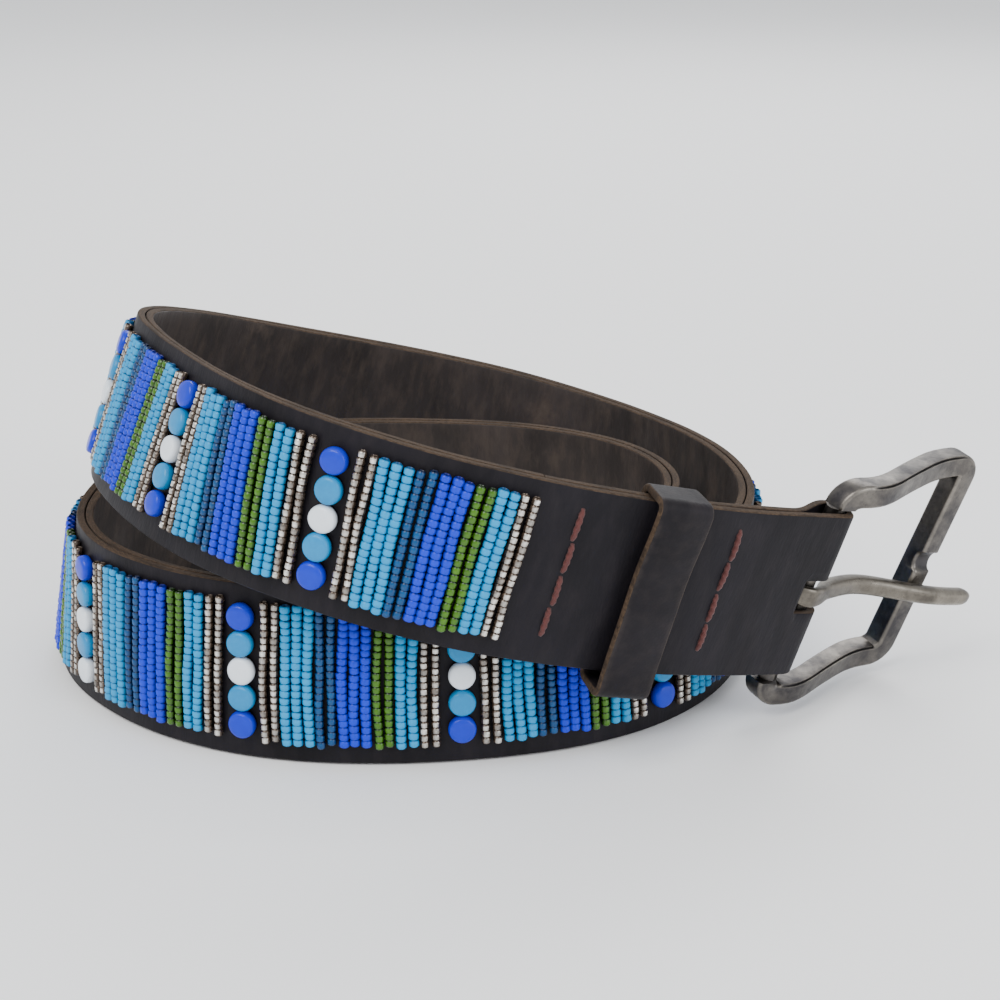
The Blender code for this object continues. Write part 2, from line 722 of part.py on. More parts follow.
for disc_number, disc_middle in enumerate(DISC_MIDDLES, start=1):
    make_disc_column(disc_number, disc_middle)
make_buckle_frame()
make_prong()
stand_on_floor()
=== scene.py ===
"""A beaded leather belt lying in a loose coil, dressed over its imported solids.

Lengths are in metres. A place on the belt is (along, across, out): along is measured from the fold
at the buckle, across goes from the middle line to the upper edge, and out goes from the joint of
the two leather plies towards the beads.
"""

import json
import logging
import math
from dataclasses import dataclass
from enum import Enum
from functools import cached_property
from typing import Callable, Sequence

import bmesh
import bpy
import numpy as np
from mathutils import Matrix, Vector, noise


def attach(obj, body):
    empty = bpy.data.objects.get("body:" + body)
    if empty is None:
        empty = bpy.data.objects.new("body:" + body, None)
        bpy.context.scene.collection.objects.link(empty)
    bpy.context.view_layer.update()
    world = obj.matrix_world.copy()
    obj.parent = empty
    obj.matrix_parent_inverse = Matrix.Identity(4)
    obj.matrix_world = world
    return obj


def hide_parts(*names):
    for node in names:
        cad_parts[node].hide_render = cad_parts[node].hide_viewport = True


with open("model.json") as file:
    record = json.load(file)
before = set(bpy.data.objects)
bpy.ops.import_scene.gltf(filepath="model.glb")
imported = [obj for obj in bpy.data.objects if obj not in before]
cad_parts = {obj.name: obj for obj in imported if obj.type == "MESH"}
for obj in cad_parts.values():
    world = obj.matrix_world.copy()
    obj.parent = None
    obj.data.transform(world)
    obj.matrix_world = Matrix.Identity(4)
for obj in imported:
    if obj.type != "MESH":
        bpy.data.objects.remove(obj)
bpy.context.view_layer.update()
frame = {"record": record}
LOG = logging.getLogger("belt")
SMOOTH_BELOW = math.radians(38)
PLAIN_MAP_STEP = 0.001
Colour = tuple[float, float, float]


# Placing things on the belt


@dataclass(frozen=True)
class BeltSizes:
    """The strap's own sizes, as the solids have them."""

    length: float = 1.015
    width: float = 0.040
    ply: float = 0.0018
    gap: float = 0.0003
    flap_end: float = 0.079
    tip_rounding: float = 0.016
    tip_end_share: float = 0.34
    coil_span: float = 0.165
    coil_depth: float = 0.170
    bar_radius: float = 0.00225
    fold_taper: float = 0.014
    plain_tip: float = 0.155

    @property
    def half(self) -> float:
        """Half the strap's width."""
        return self.width / 2

    @property
    def face_inner(self) -> float:
        """How far out the beaded ply's hidden side lies."""
        return self.gap / 2

    @property
    def face_outer(self) -> float:
        """How far out the beaded ply's shown side lies."""
        return self.face_inner + self.ply

    @property
    def fold_inner(self) -> float:
        """The fold's radius on the bar's side."""
        return self.bar_radius + self.gap

    @property
    def fold_outer(self) -> float:
        """The fold's radius on the shown side."""
        return self.fold_inner + self.ply

    @property
    def bar_out(self) -> float:
        """How far out the buckle's bar lies."""
        return self.face_inner - self.fold_inner

    def half_at(self, along: float) -> float:
        """Give the strap's half width, drawn in at the rounded tip.

        Args:
            along: the place along the belt.

        Returns:
            The half width there.
        """
        share = (along - (self.length - self.tip_rounding)) / self.tip_rounding
        if share <= 0:
            return self.half
        reach = math.sqrt(1 - self.tip_end_share ** 2)
        return self.half * math.sqrt(max(0.0, 1 - (share * reach) ** 2))


SIZES = BeltSizes()

# The coil, a row for each station: place of the lower edge as shares of the coil's span, its depth
# and the belt's width, then the lean of the upper edge towards +X and +Y for each unit of height
ROUTE = (
    (0.402, -0.432, 0.270, 0.30, -0.04),
    (0.252, -0.528, 0.450, 0.29, -0.04),
    (0.060, -0.608, 0.670, 0.26, -0.02),
    (-0.148, -0.642, 0.920, 0.26, 0.01),
    (-0.310, -0.588, 1.060, 0.29, 0.02),
    (-0.484, -0.420, 1.120, 0.42, 0.10),
    (-0.582, -0.212, 1.115, 0.38, 0.02),
    (-0.576, 0.030, 0.915, 0.26, -0.08),
    (-0.461, 0.240, 0.615, 0.12, -0.14),
    (-0.206, 0.335, 0.315, 0.00, -0.10),
    (0.012, 0.300, 0.140, 0.00, -0.02),
    (0.188, 0.200, 0.030, 0.01, 0.00),
    (0.325, 0.010, 0.000, 0.02, 0.00),
    (0.352, -0.220, 0.000, 0.02, 0.00),
    (0.196, -0.470, 0.000, 0.00, 0.04),
    (-0.055, -0.560, 0.000, 0.00, 0.05),
    (-0.333, -0.545, 0.000, 0.00, 0.05),
    (-0.552, -0.400, 0.000, 0.02, 0.06),
    (-0.642, -0.212, 0.000, 0.20, 0.00),
    (-0.582, -0.010, 0.000, 0.16, -0.06),
    (-0.424, 0.110, 0.000, 0.06, -0.06),
    (-0.206, 0.140, 0.000, 0.00, -0.05),
    (0.024, 0.106, 0.000, 0.00, 0.00),
    (0.206, -0.006, 0.000, 0.00, 0.00),
    (0.252, -0.180, 0.000, 0.00, 0.00),
    (0.152, -0.330, 0.000, 0.00, 0.02),
    (-0.048, -0.430, 0.000, 0.00, 0.04),
    (-0.267, -0.440, 0.000, 0.00, 0.04),
)


def natural_spline(knots: Sequence[float], values: Sequence) -> Callable[[float], np.ndarray]:
    """Make the natural cubic spline through values at knots.

    Args:
        knots: the growing parameters.
        values: one row of numbers for each knot.

    Returns:
        A function that gives the row at a parameter.
    """
    knots = np.asarray(knots, float)
    values = np.asarray(values, float)
    count = len(knots)
    step = np.diff(knots)
    matrix = np.eye(count)
    right = np.zeros(values.shape)
    for i in range(1, count - 1):
        matrix[i, i - 1:i + 2] = (step[i - 1], 2 * (step[i - 1] + step[i]), step[i])
        after = (values[i + 1] - values[i]) / step[i]
        before = (values[i] - values[i - 1]) / step[i - 1]
        right[i] = 6 * (after - before)
    bend = np.linalg.solve(matrix, right)

    def at(parameter: float) -> np.ndarray:
        """Give the spline's row at a parameter."""
        i = int(np.clip(np.searchsorted(knots, parameter) - 1, 0, count - 2))
        before = parameter - knots[i]
        after = knots[i + 1] - parameter
        cubic = (bend[i] * after ** 3 + bend[i + 1] * before ** 3) / (6 * step[i])
        start = (values[i] / step[i] - bend[i] * step[i] / 6) * after
        return cubic + start + (values[i + 1] / step[i] - bend[i + 1] * step[i] / 6) * before

    return at


@dataclass(frozen=True)
class Station:
    """One place along the belt, with its middle and its unit directions."""

    middle: Vector
    tangent: Vector
    across: Vector
    out: Vector

    def place(self, across: float, out: float, along: float = 0.0) -> Vector:
        """Give a point beside the middle line."""
        return self.middle + self.across * across + self.out * out + self.tangent * along

    def turn(self) -> Matrix:
        """Give the turn whose X goes across, whose Y goes along and whose Z goes out."""
        return Matrix((self.across, self.tangent, self.out)).transposed()


class BeltRoute:
    """The belt's middle line in space, measured along its own length."""

    samples: int = 20
    refits: int = 4
    end_step: float = 0.001
    slope_step: float = 0.0005

    def __init__(self, sizes: BeltSizes, shift: Vector) -> None:
        """Lay the line through the coil's stations.

        Args:
            sizes: the strap's sizes.
            shift: the move from the stations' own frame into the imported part's frame.
        """
        self.shift = shift
        rows = np.array(ROUTE)
        lean = np.column_stack([rows[:, 3], rows[:, 4], np.ones(len(rows))])
        up = lean / np.linalg.norm(lean, axis=1, keepdims=True)
        edge = rows[:, :3] * (sizes.coil_span, sizes.coil_depth, sizes.width)
        values = np.column_stack([edge + up * sizes.half, rows[:, 3:]])
        knots = self.lengths(values[:, :3])
        for _ in range(self.refits):
            self.spline = natural_spline(knots, values)
            fine = [self.spline(a + (b - a) * k / self.samples)[:3]
                    for a, b in zip(knots[:-1], knots[1:]) for k in range(self.samples)]
            fine.append(self.spline(knots[-1])[:3])
            knots = self.lengths(np.array(fine))[::self.samples]
        self.end = knots[-1]

    @staticmethod
    def lengths(points: np.ndarray) -> np.ndarray:
        """Give the running length along a list of points."""
        return np.concatenate([[0.0], np.cumsum(np.linalg.norm(np.diff(points, axis=0), axis=1))])

    def value(self, along: float) -> np.ndarray:
        """Give the middle point and the lean, going on straight past the last station."""
        if along <= self.end:
            return self.spline(along)
        last = self.spline(self.end)
        heading = (last - self.spline(self.end - self.end_step)) / self.end_step
        heading[3:] = 0.0
        return last + heading * (along - self.end)

    def at(self, along: float) -> Station:
        """Give the station at a place along the belt.

        Args:
            along: how far from the fold.

        Returns:
            The station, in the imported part's frame.
        """
        value = self.value(along)
        ahead, behind = self.value(along + self.slope_step), self.value(along - self.slope_step)
        tangent = (ahead - behind)[:3]
        tangent /= np.linalg.norm(tangent)
        across = np.array([value[3], value[4], 1.0])
        across -= across.dot(tangent) * tangent
        across /= np.linalg.norm(across)
        out = np.cross(across, tangent)
        return Station(Vector(value[:3]) + self.shift, Vector(tangent), Vector(across),
                       Vector(out))


def belt_route() -> BeltRoute:
    """Lay the route so that the buckle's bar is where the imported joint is."""
    loose = BeltRoute(SIZES, Vector())
    bar = loose.at(SIZES.fold_outer).place(0.0, SIZES.bar_out)
    joint = frame["record"]["behaviour"]["joints"][0]
    return BeltRoute(SIZES, Vector(joint["pos_m"]) - bar)


# Mesh helpers


@dataclass(frozen=True)
class Side:
    """One side of a lofted ring: its finish and its texture places from start to end."""

    finish: int
    start: float
    end: float


def loft(name: str, rings: Sequence[Sequence[Vector]], finishes: Sequence[bpy.types.Material],
         sides: Sequence[Side] | None = None, running: Sequence[float] | None = None,
         closed: bool = False) -> bpy.types.Object:
    """Skin a run of rings, with a texture map in metres.

    Args:
        name: the object's name.
        rings: the rings, each with a point for each side.
        finishes: the materials that the sides number.
        sides: the sides of every ring, or None where the finish doesn't read the map.
        running: the texture place of each ring along the run, or None likewise.
        closed: whether the last ring joins the first.

    Returns:
        The object, with its faces outward.
    """
    sides = sides or [Side(0, 0.0, PLAIN_MAP_STEP)] * len(rings[0])
    running = running or [PLAIN_MAP_STEP * k for k in range(len(rings))]
    count = len(sides)
    pairs = [(k, k + 1) for k in range(len(rings) - 1)]
    if closed:
        pairs.append((len(rings) - 1, 0))
    faces, looks, places = [], [], []
    for near, far in pairs:
        end = running[far] if far > near else 2 * running[near] - running[near - 1]
        for k, side in enumerate(sides):
            after = (k + 1) % count
            faces.append((near * count + k, near * count + after, far * count + after,
                          far * count + k))
            looks.append(side.finish)
            places += [(running[near], side.start), (running[near], side.end),
                       (end, side.end), (end, side.start)]
    if not closed:
        for ring, along in ((0, running[0]), (len(rings) - 1, running[-1])):
            faces.append(tuple(ring * count + k for k in range(count)))
            looks.append(len(finishes) - 1)
            places += [(along, side.start) for side in sides]
    mesh = bpy.data.meshes.new(name)
    mesh.from_pydata([point for ring in rings for point in ring], [], faces)
    mesh.polygons.foreach_set("material_index", looks)
    mesh.uv_layers.new(name="lay").data.foreach_set("uv", np.array(places, np.float32).ravel())
    return finish_mesh(name, mesh, finishes)


def put_in_scene(name: str, data: bpy.types.ID) -> bpy.types.Object:
    """Make an object for a mesh, lamp or lens and link it into the scene."""
    thing = bpy.data.objects.new(name, data)
    bpy.context.scene.collection.objects.link(thing)
    return thing


def finish_mesh(name: str, mesh: bpy.types.Mesh,
                finishes: Sequence[bpy.types.Material]) -> bpy.types.Object:
    """Turn a mesh's faces outward, smooth it and make its object.

    Args:
        name: the object's name.
        mesh: the mesh.
        finishes: its materials.

    Returns:
        The object, linked into the scene at the origin.
    """
    work = bmesh.new()
    work.from_mesh(mesh)
    bmesh.ops.recalc_face_normals(work, faces=work.faces)
    work.to_mesh(mesh)
    work.free()
    mesh.shade_smooth()
    mesh.set_sharp_from_angle(angle=SMOOTH_BELOW)
    for material in finishes:
        mesh.materials.append(material)
    return put_in_scene(name, mesh)


def settle(thing: bpy.types.Object) -> bpy.types.Object:
    """Turn an object's modifiers into its plain mesh.

    Args:
        thing: the object.

    Returns:
        The same object, without modifiers.
    """
    bpy.context.view_layer.update()
    graph = bpy.context.evaluated_depsgraph_get()
    mesh = bpy.data.meshes.new_from_object(thing.evaluated_get(graph), depsgraph=graph,
                                           preserve_all_data_layers=True)
    old = thing.data
    thing.modifiers.clear()
    thing.data = mesh
    bpy.data.meshes.remove(old)
    return thing


def cut(thing: bpy.types.Object, tools: Sequence[bpy.types.Object]) -> None:
    """Cut shapes out of an object for good.

    Args:
        thing: what is cut.
        tools: the cutting shapes, whose own finish goes on the cut faces.
    """
    for tool in tools:
        modifier = thing.modifiers.new(tool.name, "BOOLEAN")
        modifier.operation = "DIFFERENCE"
        modifier.solver = "EXACT"
        modifier.material_mode = "TRANSFER"
        modifier.object = tool
    settle(thing)


def discard(things: Sequence[bpy.types.Object]) -> None:
    """Remove helper objects."""
    for thing in things:
        bpy.data.objects.remove(thing, do_unlink=True)


def dress(piece: bpy.types.Object, body: str, node: str) -> None:
    """Let a piece ride a body and stand for one of its solids.

    Args:
        piece: the dressed piece.
        body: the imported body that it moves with.
        node: the solid that it takes the place of.
    """
    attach(piece, body)
    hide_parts(node)
    LOG.info("%s: %d faces", piece.name, len(piece.data.polygons))


def even_steps(start: float, end: float, longest: float) -> list[float]:
    """Give evenly spaced values from start to end, no further apart than longest."""
    count = max(1, math.ceil((end - start) / longest))
    return [start + (end - start) * k / count for k in range(count + 1)]


def smooth_step(share: float) -> float:
    """Ease from 0 to 1."""
    share = min(max(share, 0.0), 1.0)
    return share * share * (3 - 2 * share)


def give_attribute(mesh: bpy.types.Mesh, name: str, kind: str, values: Sequence) -> None:
    """Put one value on each of a mesh's points.

    Args:
        mesh: the mesh.
        name: the attribute's name.
        kind: FLOAT, INT or FLOAT_VECTOR.
        values: the values, in the points' order.
    """
    attribute = mesh.attributes.new(name, kind, "POINT")
    word = "vector" if kind == "FLOAT_VECTOR" else "value"
    dtype = np.int32 if kind == "INT" else np.float32
    attribute.data.foreach_set(word, np.array(values, dtype).ravel())


# Finishes


class Drawing:
    """A tree of nodes while it is drawn."""

    def __init__(self, tree: bpy.types.NodeTree) -> None:
        """Keep the tree."""
        self.tree = tree

    def feed(self, socket: bpy.types.NodeSocket, value: object) -> None:
        """Link a socket into an input, or set the input to a plain value."""
        if isinstance(value, bpy.types.NodeSocket):
            self.tree.links.new(value, socket)
        else:
            socket.default_value = value

    def node(self, kind: str, inputs: dict | None = None, **settings: object) -> bpy.types.Node:
        """Add a node.

        Args:
            kind: the node's type.
            inputs: what goes into its inputs, sockets or values.
            settings: its own properties.

        Returns:
            The node.
        """
        node = self.tree.nodes.new(kind)
        for key, value in settings.items():
            setattr(node, key, value)
        for key, value in (inputs or {}).items():
            self.feed(node.inputs[key], value)
        return node


class Sketch(Drawing):
    """A material while its nodes are drawn."""

    def __init__(self, name: str) -> None:
        """Start a material of this name."""
        self.material = bpy.data.materials.new(name)
        self.material.use_nodes = True
        super().__init__(self.material.node_tree)
        self.shader = self.tree.nodes["Principled BSDF"]

    def coordinates(self) -> bpy.types.NodeSocket:
        """Give the piece's own space, in metres."""
        return self.node("ShaderNodeTexCoord").outputs["Object"]

    def surface(self) -> bpy.types.NodeSocket:
        """Give the piece's own surface map, in metres along and across."""
        return self.node("ShaderNodeUVMap", uv_map="lay").outputs["UV"]

    def stretched(self, vector: bpy.types.NodeSocket, scale: Colour) -> bpy.types.NodeSocket:
        """Give coordinates stretched by a scale on each axis."""
        return self.node("ShaderNodeMapping", {"Vector": vector, "Scale": scale}).outputs["Vector"]

    def cloud(self, vector: bpy.types.NodeSocket, size: float, detail: float = 4.0,
              rough: float = 0.55) -> bpy.types.NodeSocket:
        """Give soft noise whose blotches have a size.

        Args:
            vector: where it is read.
            size: the blotches' size in the coordinates' units.
            detail: how many finer layers it has.
            rough: how strong the finer layers are.

        Returns:
            The noise's value.
        """
        inputs = {"Vector": vector, "Scale": 1 / size, "Detail": detail, "Roughness": rough}
        return self.node("ShaderNodeTexNoise", inputs).outputs["Fac"]

    def band(self, value: bpy.types.NodeSocket, low: float, high: float, to_low: float = 0.0,
             to_high: float = 1.0) -> bpy.types.NodeSocket:
        """Stretch a range of a value onto another, held at its ends."""
        inputs = {"Value": value, "From Min": low, "From Max": high, "To Min": to_low,
                  "To Max": to_high}
        return self.node("ShaderNodeMapRange", inputs).outputs["Result"]

    def mix(self, factor: object, first: object, second: object,
            blend: str = "MIX") -> bpy.types.NodeSocket:
        """Mix two colours.

        Args:
            factor: how much of the second.
            first: a colour or a socket.
            second: a colour or a socket.
            blend: how they mix.

        Returns:
            The mixed colour.
        """
        node = self.node("ShaderNodeMix", data_type="RGBA", blend_type=blend)
        for key, value in ((0, factor), (6, first), (7, second)):
            if isinstance(value, tuple):
                value = (*value, 1.0)
            self.feed(node.inputs[key], value)
        return node.outputs[2]

    def maths(self, operation: str, first: object, second: object = 0.0) -> bpy.types.NodeSocket:
        """Do one sum."""
        node = self.node("ShaderNodeMath", {0: first, 1: second}, operation=operation)
        return node.outputs[0]

    def bump(self, height: bpy.types.NodeSocket, depth: float, strength: float,
             under: bpy.types.NodeSocket | None = None) -> bpy.types.NodeSocket:
        """Turn a height into a surface's tilt.

        Args:
            height: the height, from 0 to 1.
            depth: how deep that is, in metres.
            strength: how strongly it shows.
            under: a coarser relief that this one lies on.

        Returns:
            The tilt.
        """
        inputs = {"Height": height, "Distance": depth, "Strength": strength}
        node = self.node("ShaderNodeBump", inputs)
        if under is not None:
            self.feed(node.inputs["Normal"], under)
        return node.outputs["Normal"]

    def attribute(self, name: str) -> bpy.types.NodeSocket:
        """Read a number that the mesh carries."""
        return self.node("ShaderNodeAttribute", attribute_name=name).outputs["Fac"]

    def finish(self, **inputs: object) -> bpy.types.Material:
        """Feed the shader and give the material.

        Args:
            inputs: the shader's inputs, with _ for a space.

        Returns:
            The material.
        """
        for key, value in inputs.items():
            if isinstance(value, tuple) and len(value) == 3:
                value = (*value, 1.0)
            self.feed(self.shader.inputs[key.replace("_", " ")], value)
        return self.material


@dataclass(frozen=True)
class LeatherFinish:
    """Oiled leather, with pores, soft clouding, scuffs and edges worn pale."""

    name: str
    colour: Colour
    deep: Colour
    scuffed: Colour
    roughness: float = 0.52
    shine: float = 0.15
    pore: float = 0.00055
    scuffs: float = 0.35
    creases: float = 0.30
    wear_and_painted_shade_from: float = 0.0186
    wear_and_painted_shade_to: float = 0.0202
    cloud_size: float = 0.021
    mottle_size: float = 0.0032
    patch_size: float = 0.034
    grain_size: float = 0.0010
    streak_rate: Colour = (70.0, 190.0, 1.0)
    crease_rate: Colour = (150.0, 105.0, 1.0)
    crease_depth: float = 0.00060
    pore_depth: float = 0.00009
    grain_depth: float = 0.00008
    relief: float = 0.35

    def make(self) -> bpy.types.Material:
        """Draw the finish."""
        ink = Sketch(self.name)
        lay = ink.surface()
        clouds = ink.cloud(lay, self.cloud_size, 5.0, 0.6)
        mottle = ink.cloud(lay, self.mottle_size, 4.0, 0.6)
        tone = ink.mix(ink.band(clouds, 0.34, 0.68), self.deep, self.colour)
        tone = ink.mix(ink.band(mottle, 0.45, 0.8, 0.0, 0.30), tone, self.scuffed)
        streaks = ink.cloud(ink.stretched(lay, self.streak_rate), 1.0, 6.0, 0.65)
        patches = ink.cloud(lay, self.patch_size, 3.0, 0.5)
        worn = ink.maths("MULTIPLY", ink.band(streaks, 0.54, 0.76), ink.band(patches, 0.46, 0.72))
        tone = ink.mix(ink.maths("MULTIPLY", worn, self.scuffs), tone, self.scuffed)
        across = ink.node("ShaderNodeSeparateXYZ", {0: lay}).outputs["Y"]
        rim = ink.band(ink.maths("ABSOLUTE", across), self.wear_and_painted_shade_from, self.wear_and_painted_shade_to)
        rim = ink.maths("MULTIPLY", rim, ink.band(mottle, 0.30, 0.62))
        tone = ink.mix(rim, tone, self.scuffed)
        pores = ink.node("ShaderNodeTexVoronoi",
                         {"Vector": lay, "Scale": 1 / self.pore, "Randomness": 0.9})
        folds = ink.cloud(ink.stretched(lay, self.crease_rate), 1.0, 6.0, 0.60)
        relief = ink.bump(folds, self.crease_depth, self.creases)
        relief = ink.bump(pores.outputs["Distance"], self.pore_depth, self.relief, relief)
        grain = ink.cloud(lay, self.grain_size, 3.0)
        relief = ink.bump(grain, self.grain_depth, self.relief, relief)
        gloss = ink.band(clouds, 0.3, 0.7, self.roughness + 0.07, self.roughness - 0.06)
        return ink.finish(Base_Color=tone, Roughness=gloss, Normal=relief,
                          Specular_IOR_Level=self.shine)


@dataclass(frozen=True)
class CutEdgeFinish:
    """The raw cut edge of a leather ply, fibrous and tan."""

    name: str
    pale: Colour
    dark: Colour
    roughness: float = 0.86
    fibre_rate: Colour = (900.0, 3400.0, 1.0)
    stain_rate: Colour = (95.0, 600.0, 1.0)
    fibre_depth: float = 0.00022

    def make(self) -> bpy.types.Material:
        """Draw the finish."""
        ink = Sketch(self.name)
        lay = ink.surface()
        fibre = ink.cloud(ink.stretched(lay, self.fibre_rate), 1.0, 4.0, 0.7)
        stain = ink.cloud(ink.stretched(lay, self.stain_rate), 1.0, 5.0, 0.6)
        tone = ink.mix(ink.band(fibre, 0.32, 0.70), self.dark, self.pale)
        tone = ink.mix(ink.band(stain, 0.46, 0.66, 0.0, 0.75), tone, self.dark)
        relief = ink.bump(fibre, self.fibre_depth, 0.8)
        return ink.finish(Base_Color=tone, Roughness=self.roughness, Normal=relief,
                          Specular_IOR_Level=0.25)


@dataclass(frozen=True)
class GlassFinish:
    """A glass bead: the body's colour on its crown, darkened towards the thread by painted shade on
    its sides, underside and hole.
    """

    name: str
    colour: Colour
    # deep: the painted shade colour, and also the colour that the random tint darkens towards
    deep: Colour
    roughness: float = 0.34
    metallic: float = 0.0
    coat: float = 0.12
    # painted_light_low and painted_light_high: the crown range over which the painted light goes
    # from the painted shade colour to the body's colour
    painted_light_low: float = 0.42
    painted_light_high: float = 0.86
    streak: float = 0.12
    shine: float = 0.22
    coat_roughness: float = 0.10
    swirl_size: float = 0.0011
    gloss_size: float = 0.003
    ripple_size: float = 0.0007
    ripple_depth: float = 0.00006

    def make(self) -> bpy.types.Material:
        """Draw the finish."""
        ink = Sketch(self.name)
        place = ink.coordinates()
        # Painted shade: the crown, how near the seen side a point lies, darkens each bead's sides,
        # underside and hole to the deep colour
        crown = ink.band(ink.attribute("crown"), self.painted_light_low, self.painted_light_high)
        tone = ink.mix(crown, self.deep, self.colour)
        tint = ink.band(ink.attribute("tint"), 0.0, 1.0, 0.0, self.streak)
        tone = ink.mix(tint, tone, self.deep)
        swirl = ink.band(ink.cloud(place, self.swirl_size, 3.0), 0.40, 0.70, 0.0, self.streak)
        tone = ink.mix(swirl, tone, (1.0, 1.0, 1.0), "SOFT_LIGHT")
        relief = ink.bump(ink.cloud(place, self.ripple_size, 2.0), self.ripple_depth, 0.25)
        gloss = ink.band(ink.cloud(place, self.gloss_size, 2.0), 0.3, 0.7, self.roughness - 0.05,
                         self.roughness + 0.06)
        return ink.finish(Base_Color=tone, Roughness=gloss, Normal=relief, Metallic=self.metallic,
                          Specular_IOR_Level=self.shine, Coat_Weight=self.coat,
                          Coat_Roughness=self.coat_roughness)


@dataclass(frozen=True)
class MetalFinish:
    """Antiqued nickel: worn bright on its corners, grey and pitted where nothing rubs it, with
    painted shade in the frame's crease and notch.
    """

    name: str
    bright: Colour
    patina: Colour
    roughness: float = 0.34
    rub: float = 0.5
    blotch_size: float = 0.0075
    pit_size: float = 0.0009
    pit_depth: float = 0.00007
    hair_rate: Colour = (260.0, 1900.0, 900.0)
    hair_depth: float = 0.00004

    def make(self) -> bpy.types.Material:
        """Draw the finish."""
        ink = Sketch(self.name)
        place = ink.coordinates()
        blotch = ink.cloud(place, self.blotch_size, 5.0, 0.62)
        pits = ink.cloud(place, self.pit_size, 4.0, 0.65)
        # wear_and_painted_shade: corners worn bright, and painted shade in the frame's crease and
        # in the prong's notch
        wear_and_painted_shade = ink.attribute("wear_and_painted_shade")
        shade = ink.maths("ADD", ink.band(blotch, 0.36, 0.66, 0.0, 0.62),
                          ink.maths("MULTIPLY", wear_and_painted_shade, self.rub))
        tone = ink.mix(shade, self.patina, self.bright)
        tone = ink.mix(ink.band(pits, 0.54, 0.74, 0.0, 0.55), tone, self.patina)
        hair = ink.cloud(ink.stretched(place, self.hair_rate), 1.0, 4.0, 0.6)
        relief = ink.bump(pits, self.pit_depth, 0.5)
        relief = ink.bump(hair, self.hair_depth, 0.35, relief)
        dull, bright = self.roughness + 0.10, self.roughness - 0.05
        gloss = ink.maths("ADD", ink.band(hair, 0.3, 0.7, -0.05, 0.07),
                          ink.band(blotch, 0.35, 0.70, dull, bright))
        return ink.finish(Base_Color=tone, Roughness=gloss, Metallic=1.0, Normal=relief)


@dataclass(frozen=True)
class ThreadFinish:
    """Waxed stitching thread, with painted shade on its sides and on its ends that dive into the
    leather.
    """

    name: str
    colour: Colour
    deep: Colour
    roughness: float = 0.70
    sheen: float = 0.15
    strand_size: float = 0.00030
    strand_depth: float = 0.00010

    def make(self) -> bpy.types.Material:
        """Draw the finish."""
        ink = Sketch(self.name)
        place = ink.coordinates()
        strand = ink.cloud(place, self.strand_size, 3.0, 0.6)
        # Painted shade: the crown darkens the thread's sides and ends to the deep colour
        crown = ink.band(ink.attribute("crown"), 0.2, 0.9)
        tone = ink.mix(crown, self.deep, self.colour)
        tone = ink.mix(ink.band(strand, 0.45, 0.75, 0.0, 0.5), tone, self.deep)
        relief = ink.bump(strand, self.strand_depth, 0.6)
        return ink.finish(Base_Color=tone, Roughness=self.roughness, Normal=relief,
                          Sheen_Weight=self.sheen)


@dataclass(frozen=True)
class FloorFinish:
    """Plain pale studio floor."""

    name: str = "studio_floor"
    colour: Colour = (0.95, 0.95, 0.95)
    haze: Colour = (0.88, 0.88, 0.90)
    haze_size: float = 0.35
    roughness: float = 0.75

    def make(self) -> bpy.types.Material:
        """Draw the finish."""
        ink = Sketch(self.name)
        haze = ink.cloud(ink.coordinates(), self.haze_size, 3.0)
        tone = ink.mix(ink.band(haze, 0.3, 0.7, 0.0, 0.04), self.colour, self.haze)
        return ink.finish(Base_Color=tone, Roughness=self.roughness, Specular_IOR_Level=0.2)


FACE_LEATHER = LeatherFinish("leather_face", (0.0108, 0.0092, 0.0128), (0.0052, 0.0044, 0.0060),
                             (0.030, 0.024, 0.026))
LINING_LEATHER = LeatherFinish("leather_lining", (0.050, 0.040, 0.037), (0.022, 0.018, 0.017),
                               (0.135, 0.098, 0.074), roughness=0.50, shine=0.22, scuffs=0.9,
                               creases=0.8)
KEEPER_LEATHER = LeatherFinish("leather_keeper", (0.0118, 0.0098, 0.0126), (0.0058, 0.0048, 0.0062),
                               (0.036, 0.028, 0.026), wear_and_painted_shade_from=0.0046, wear_and_painted_shade_to=0.0062)
CUT_EDGE = CutEdgeFinish("leather_cut_edge", (0.090, 0.056, 0.033), (0.015, 0.010, 0.007))
# The thread's second colour is painted shade, and also the dark of its strands
THREAD = ThreadFinish("thread_dark_red", (0.082, 0.012, 0.009), (0.014, 0.003, 0.002))
FRAME_METAL = MetalFinish("nickel_frame", (0.225, 0.205, 0.178), (0.052, 0.049, 0.051))
PRONG_METAL = MetalFinish("nickel_prong", (0.240, 0.216, 0.180), (0.062, 0.055, 0.048),
                          roughness=0.30)


# Copies set on points


